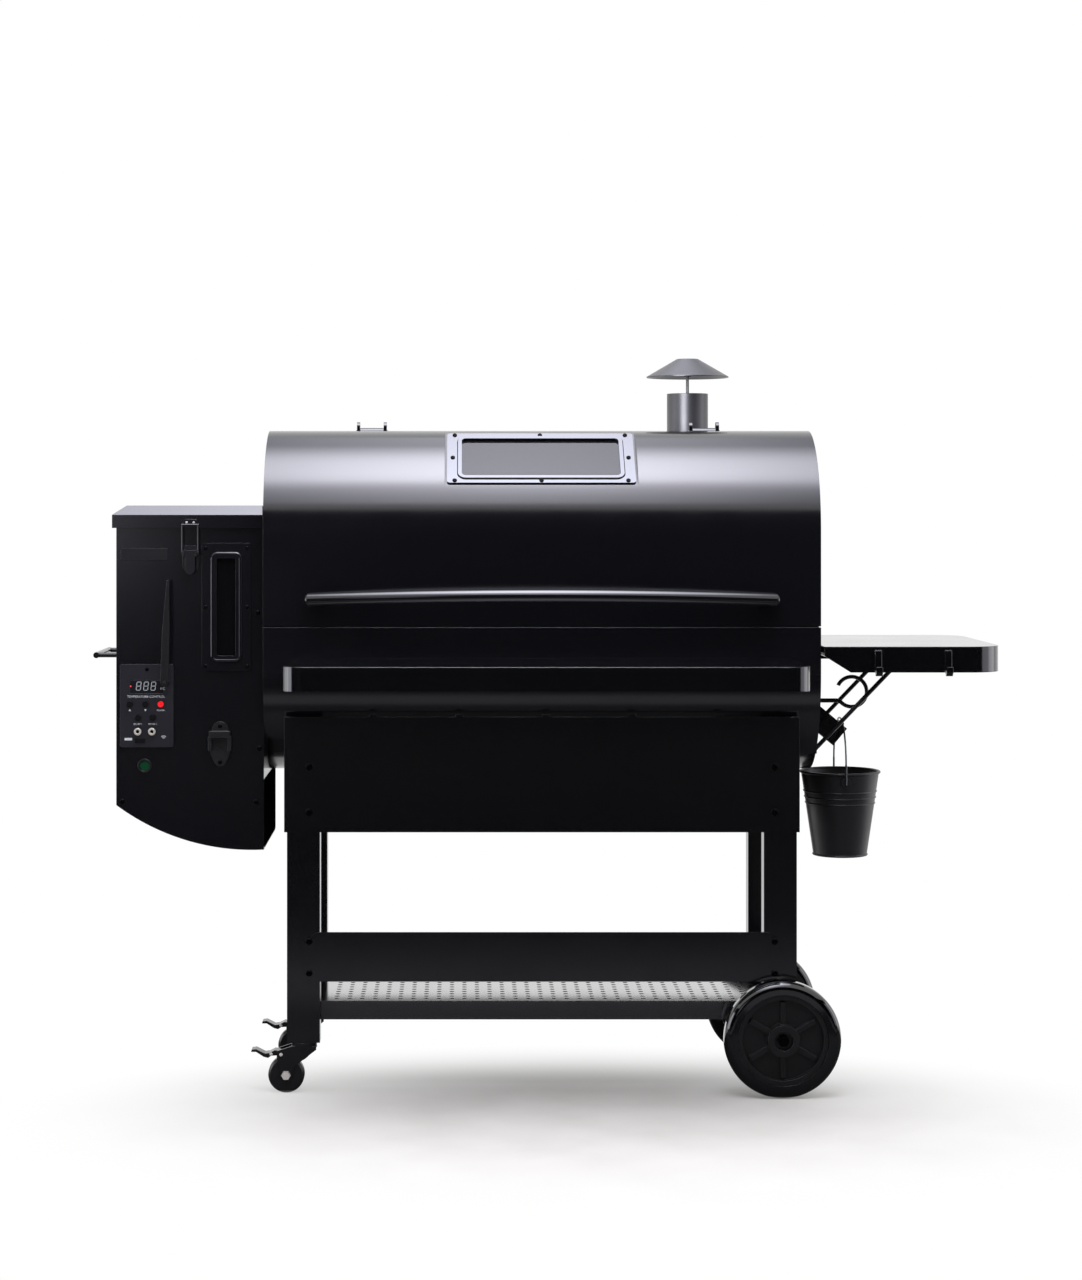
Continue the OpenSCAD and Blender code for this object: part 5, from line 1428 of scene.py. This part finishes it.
    def _seen(self, tree: bpy.types.NodeTree) -> bpy.types.NodeSocket:
        """Tells rays that show the backdrop from those that carry its light.

        Args:
            tree: Node tree of the floor or the world.

        Returns:
            A socket with one for a ray from the camera, a mirror or a glass, and zero for others.
        """
        path = add_node(tree, "ShaderNodeLightPath").outputs
        seen = path["Is Camera Ray"]
        for other in ("Is Glossy Ray", "Is Transmission Ray"):
            either = add_node(tree, "ShaderNodeMath", {"operation": "MAXIMUM"}, i0=seen, i1=path[other])
            seen = either.outputs["Value"]
        return seen

    def _floor(self) -> None:
        """Lays the pale floor, which fades into the white backdrop away from the grill."""
        # Painted floor, rolled on: a pale, dull grey with soft scuffs, and no shine
        made, tree = new_tree("painted_floor")
        where = add_node(tree, "ShaderNodeTexCoord").outputs["Object"]
        shifted = add_node(
            tree, "ShaderNodeMapping", None, Vector=where, Location=self.pool_shift, Scale=self.pool_stretch
        )
        far = add_node(tree, "ShaderNodeVectorMath", {"operation": "LENGTH"}, i0=shifted.outputs["Vector"])
        fade = add_node(
            tree,
            "ShaderNodeMapRange",
            {"interpolation_type": "SMOOTHSTEP"},
            Value=far.outputs["Value"],
            From_Min=self.pool_fade[0],
            From_Max=self.pool_fade[1],
        )
        seen = self._seen(tree)
        weight = add_node(
            tree, "ShaderNodeMath", {"operation": "MULTIPLY"}, i0=fade.outputs["Result"], i1=seen
        )
        scuffs = add_node(
            tree, "ShaderNodeTexNoise", None, Vector=where, Scale=self.scuff_scale, Detail=self.scuff_detail
        )
        pale, dark = self.floor_tones
        tone = add_node(
            tree,
            "ShaderNodeMix",
            {"data_type": "RGBA"},
            i0=scuffs.outputs["Fac"],
            i6=linear(pale),
            i7=linear(dark),
        )
        paint = add_node(tree, "ShaderNodeBsdfDiffuse", None, Color=tone.outputs[2])
        white = add_node(tree, "ShaderNodeEmission", None, Color=(1, 1, 1, 1), Strength=1.0)
        mixed = add_node(
            tree,
            "ShaderNodeMixShader",
            None,
            i0=weight.outputs["Value"],
            i1=paint.outputs["BSDF"],
            i2=white.outputs["Emission"],
        )
        add_node(tree, "ShaderNodeOutputMaterial", None, Surface=mixed.outputs["Shader"])
        h = self.floor_half
        self._sheet("floor", [(-h, -h, 0), (h, -h, 0), (h, h, 0), (-h, h, 0)], made)

    def _cloths(self) -> None:
        """Hangs black cloths behind the camera and at its sides, and lays dark strips on the floor as a painted
        reflection: gloss sees their tones where the camera sees the pale floor.
        """
        x, far, near = self.cloth_half, self.cloth_far, self.cloth_near
        low, top = self.cloth_low, self.back_cloth_top
        corners = [(-x, far, low), (x, far, low), (x, far, top), (-x, far, top)]
        cards = {"behind_camera": (corners, self.black)}
        top = self.side_cloth_top
        for name, side in (("left_card", -x), ("right_card", x)):
            corners = [(side, far, low), (side, near, low), (side, near, top), (side, far, top)]
            cards[name] = (corners, self.black)
        # Dark strips on the floor, seen only in reflections: a painted reflection of the floor
        z = self.floor_cloth_lift
        for i, (back, front, tone) in enumerate(self.floor_reflection_bands):
            corners = [(-x, front, z), (x, front, z), (x, back, z), (-x, back, z)]
            cards[f"floor_cloth_{i + 1}"] = (corners, tone)
        for name, (corners, tone) in cards.items():
            # Dyed wool cloth: a flat dark tone with no shine, seen in the reflections alone; the strips on the
            # floor are a painted reflection, darker than the pale floor that the camera sees
            made, tree = new_tree(f"{name}_cloth")
            cloth = add_node(tree, "ShaderNodeBsdfDiffuse", None, Color=(tone, tone, tone, 1))
            add_node(tree, "ShaderNodeOutputMaterial", None, Surface=cloth.outputs["BSDF"])
            sheet = self._sheet(name, corners, made)
            sheet.visible_camera = False
            sheet.visible_shadow = False
            sheet.visible_diffuse = False

    def _world(self) -> None:
        """Makes the white surroundings."""
        world = bpy.data.worlds.new("surroundings")
        bpy.context.scene.world = world
        world.use_nodes = True
        tree = world.node_tree
        tree.nodes.clear()
        dim, full = self.surroundings
        level = add_node(tree, "ShaderNodeMapRange", None, Value=self._seen(tree), To_Min=dim, To_Max=full)
        back = add_node(
            tree, "ShaderNodeBackground", None, Color=(1, 1, 1, 1), Strength=level.outputs["Result"]
        )
        add_node(tree, "ShaderNodeOutputWorld", None, Surface=back.outputs["Background"])

    def _ceiling(self) -> None:
        """Hangs a wide diffuser over the grill, brightest in front of the lid's crown."""
        # White silk, lit from above: an even glow that shades off to its edges
        made, tree = new_tree("lit_diffuser")
        where = add_node(tree, "ShaderNodeTexCoord").outputs["Object"]
        axes = add_node(tree, "ShaderNodeSeparateXYZ", None, Vector=where)
        front, back = self.diffuser_reach
        along = add_node(
            tree, "ShaderNodeMapRange", None, Value=axes.outputs["Y"], From_Min=front, From_Max=back
        )
        ramp = add_node(tree, "ShaderNodeValToRGB", None, Fac=along.outputs["Result"])
        stops = ramp.color_ramp.elements
        while len(stops) < len(self.diffuser_glow):
            stops.new(0.5)
        for stop, (y, level) in zip(stops, self.diffuser_glow):
            stop.position = (y - front) / (back - front)
            stop.color = (level, level, level, 1.0)
        aside = add_node(tree, "ShaderNodeMath", {"operation": "ABSOLUTE"}, i0=axes.outputs["X"])
        across = add_node(
            tree,
            "ShaderNodeMapRange",
            {"interpolation_type": "SMOOTHSTEP"},
            Value=aside.outputs["Value"],
            From_Max=self.diffuser_half,
            To_Min=self.diffuser_sides[0] * self.diffuser_power,
            To_Max=self.diffuser_sides[1] * self.diffuser_power,
        )
        power = add_node(
            tree,
            "ShaderNodeMath",
            {"operation": "MULTIPLY"},
            i0=ramp.outputs["Color"],
            i1=across.outputs["Result"],
        )
        colour = linear(self.lamp_colour)
        glow = add_node(tree, "ShaderNodeEmission", None, Color=colour, Strength=power.outputs["Value"])
        add_node(tree, "ShaderNodeOutputMaterial", None, Surface=glow.outputs["Emission"])
        w, z = self.diffuser_half, self.diffuser_height
        sheet = self._sheet("diffuser", [(-w, front, z), (-w, back, z), (w, back, z), (w, front, z)], made)
        sheet.visible_camera = False


def main() -> None:
    """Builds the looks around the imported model."""
    logging.basicConfig(level=logging.INFO, format="%(name)s: %(message)s")
    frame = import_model()
    palette = Palette()
    palette.dress_nodes(frame)
    shop = Workshop(palette)
    for part in (LidTrim(), ChimneyTrim(), CartTrim(), HopperTrim(), ControlFace()):
        part.build(shop)
        LOG.info("built %s", type(part).__name__)
    Studio().build(frame["nodes"])
    bpy.context.view_layer.update()
    LOG.info("made %d pieces", shop.count)


if __name__ == "__main__":
    main()
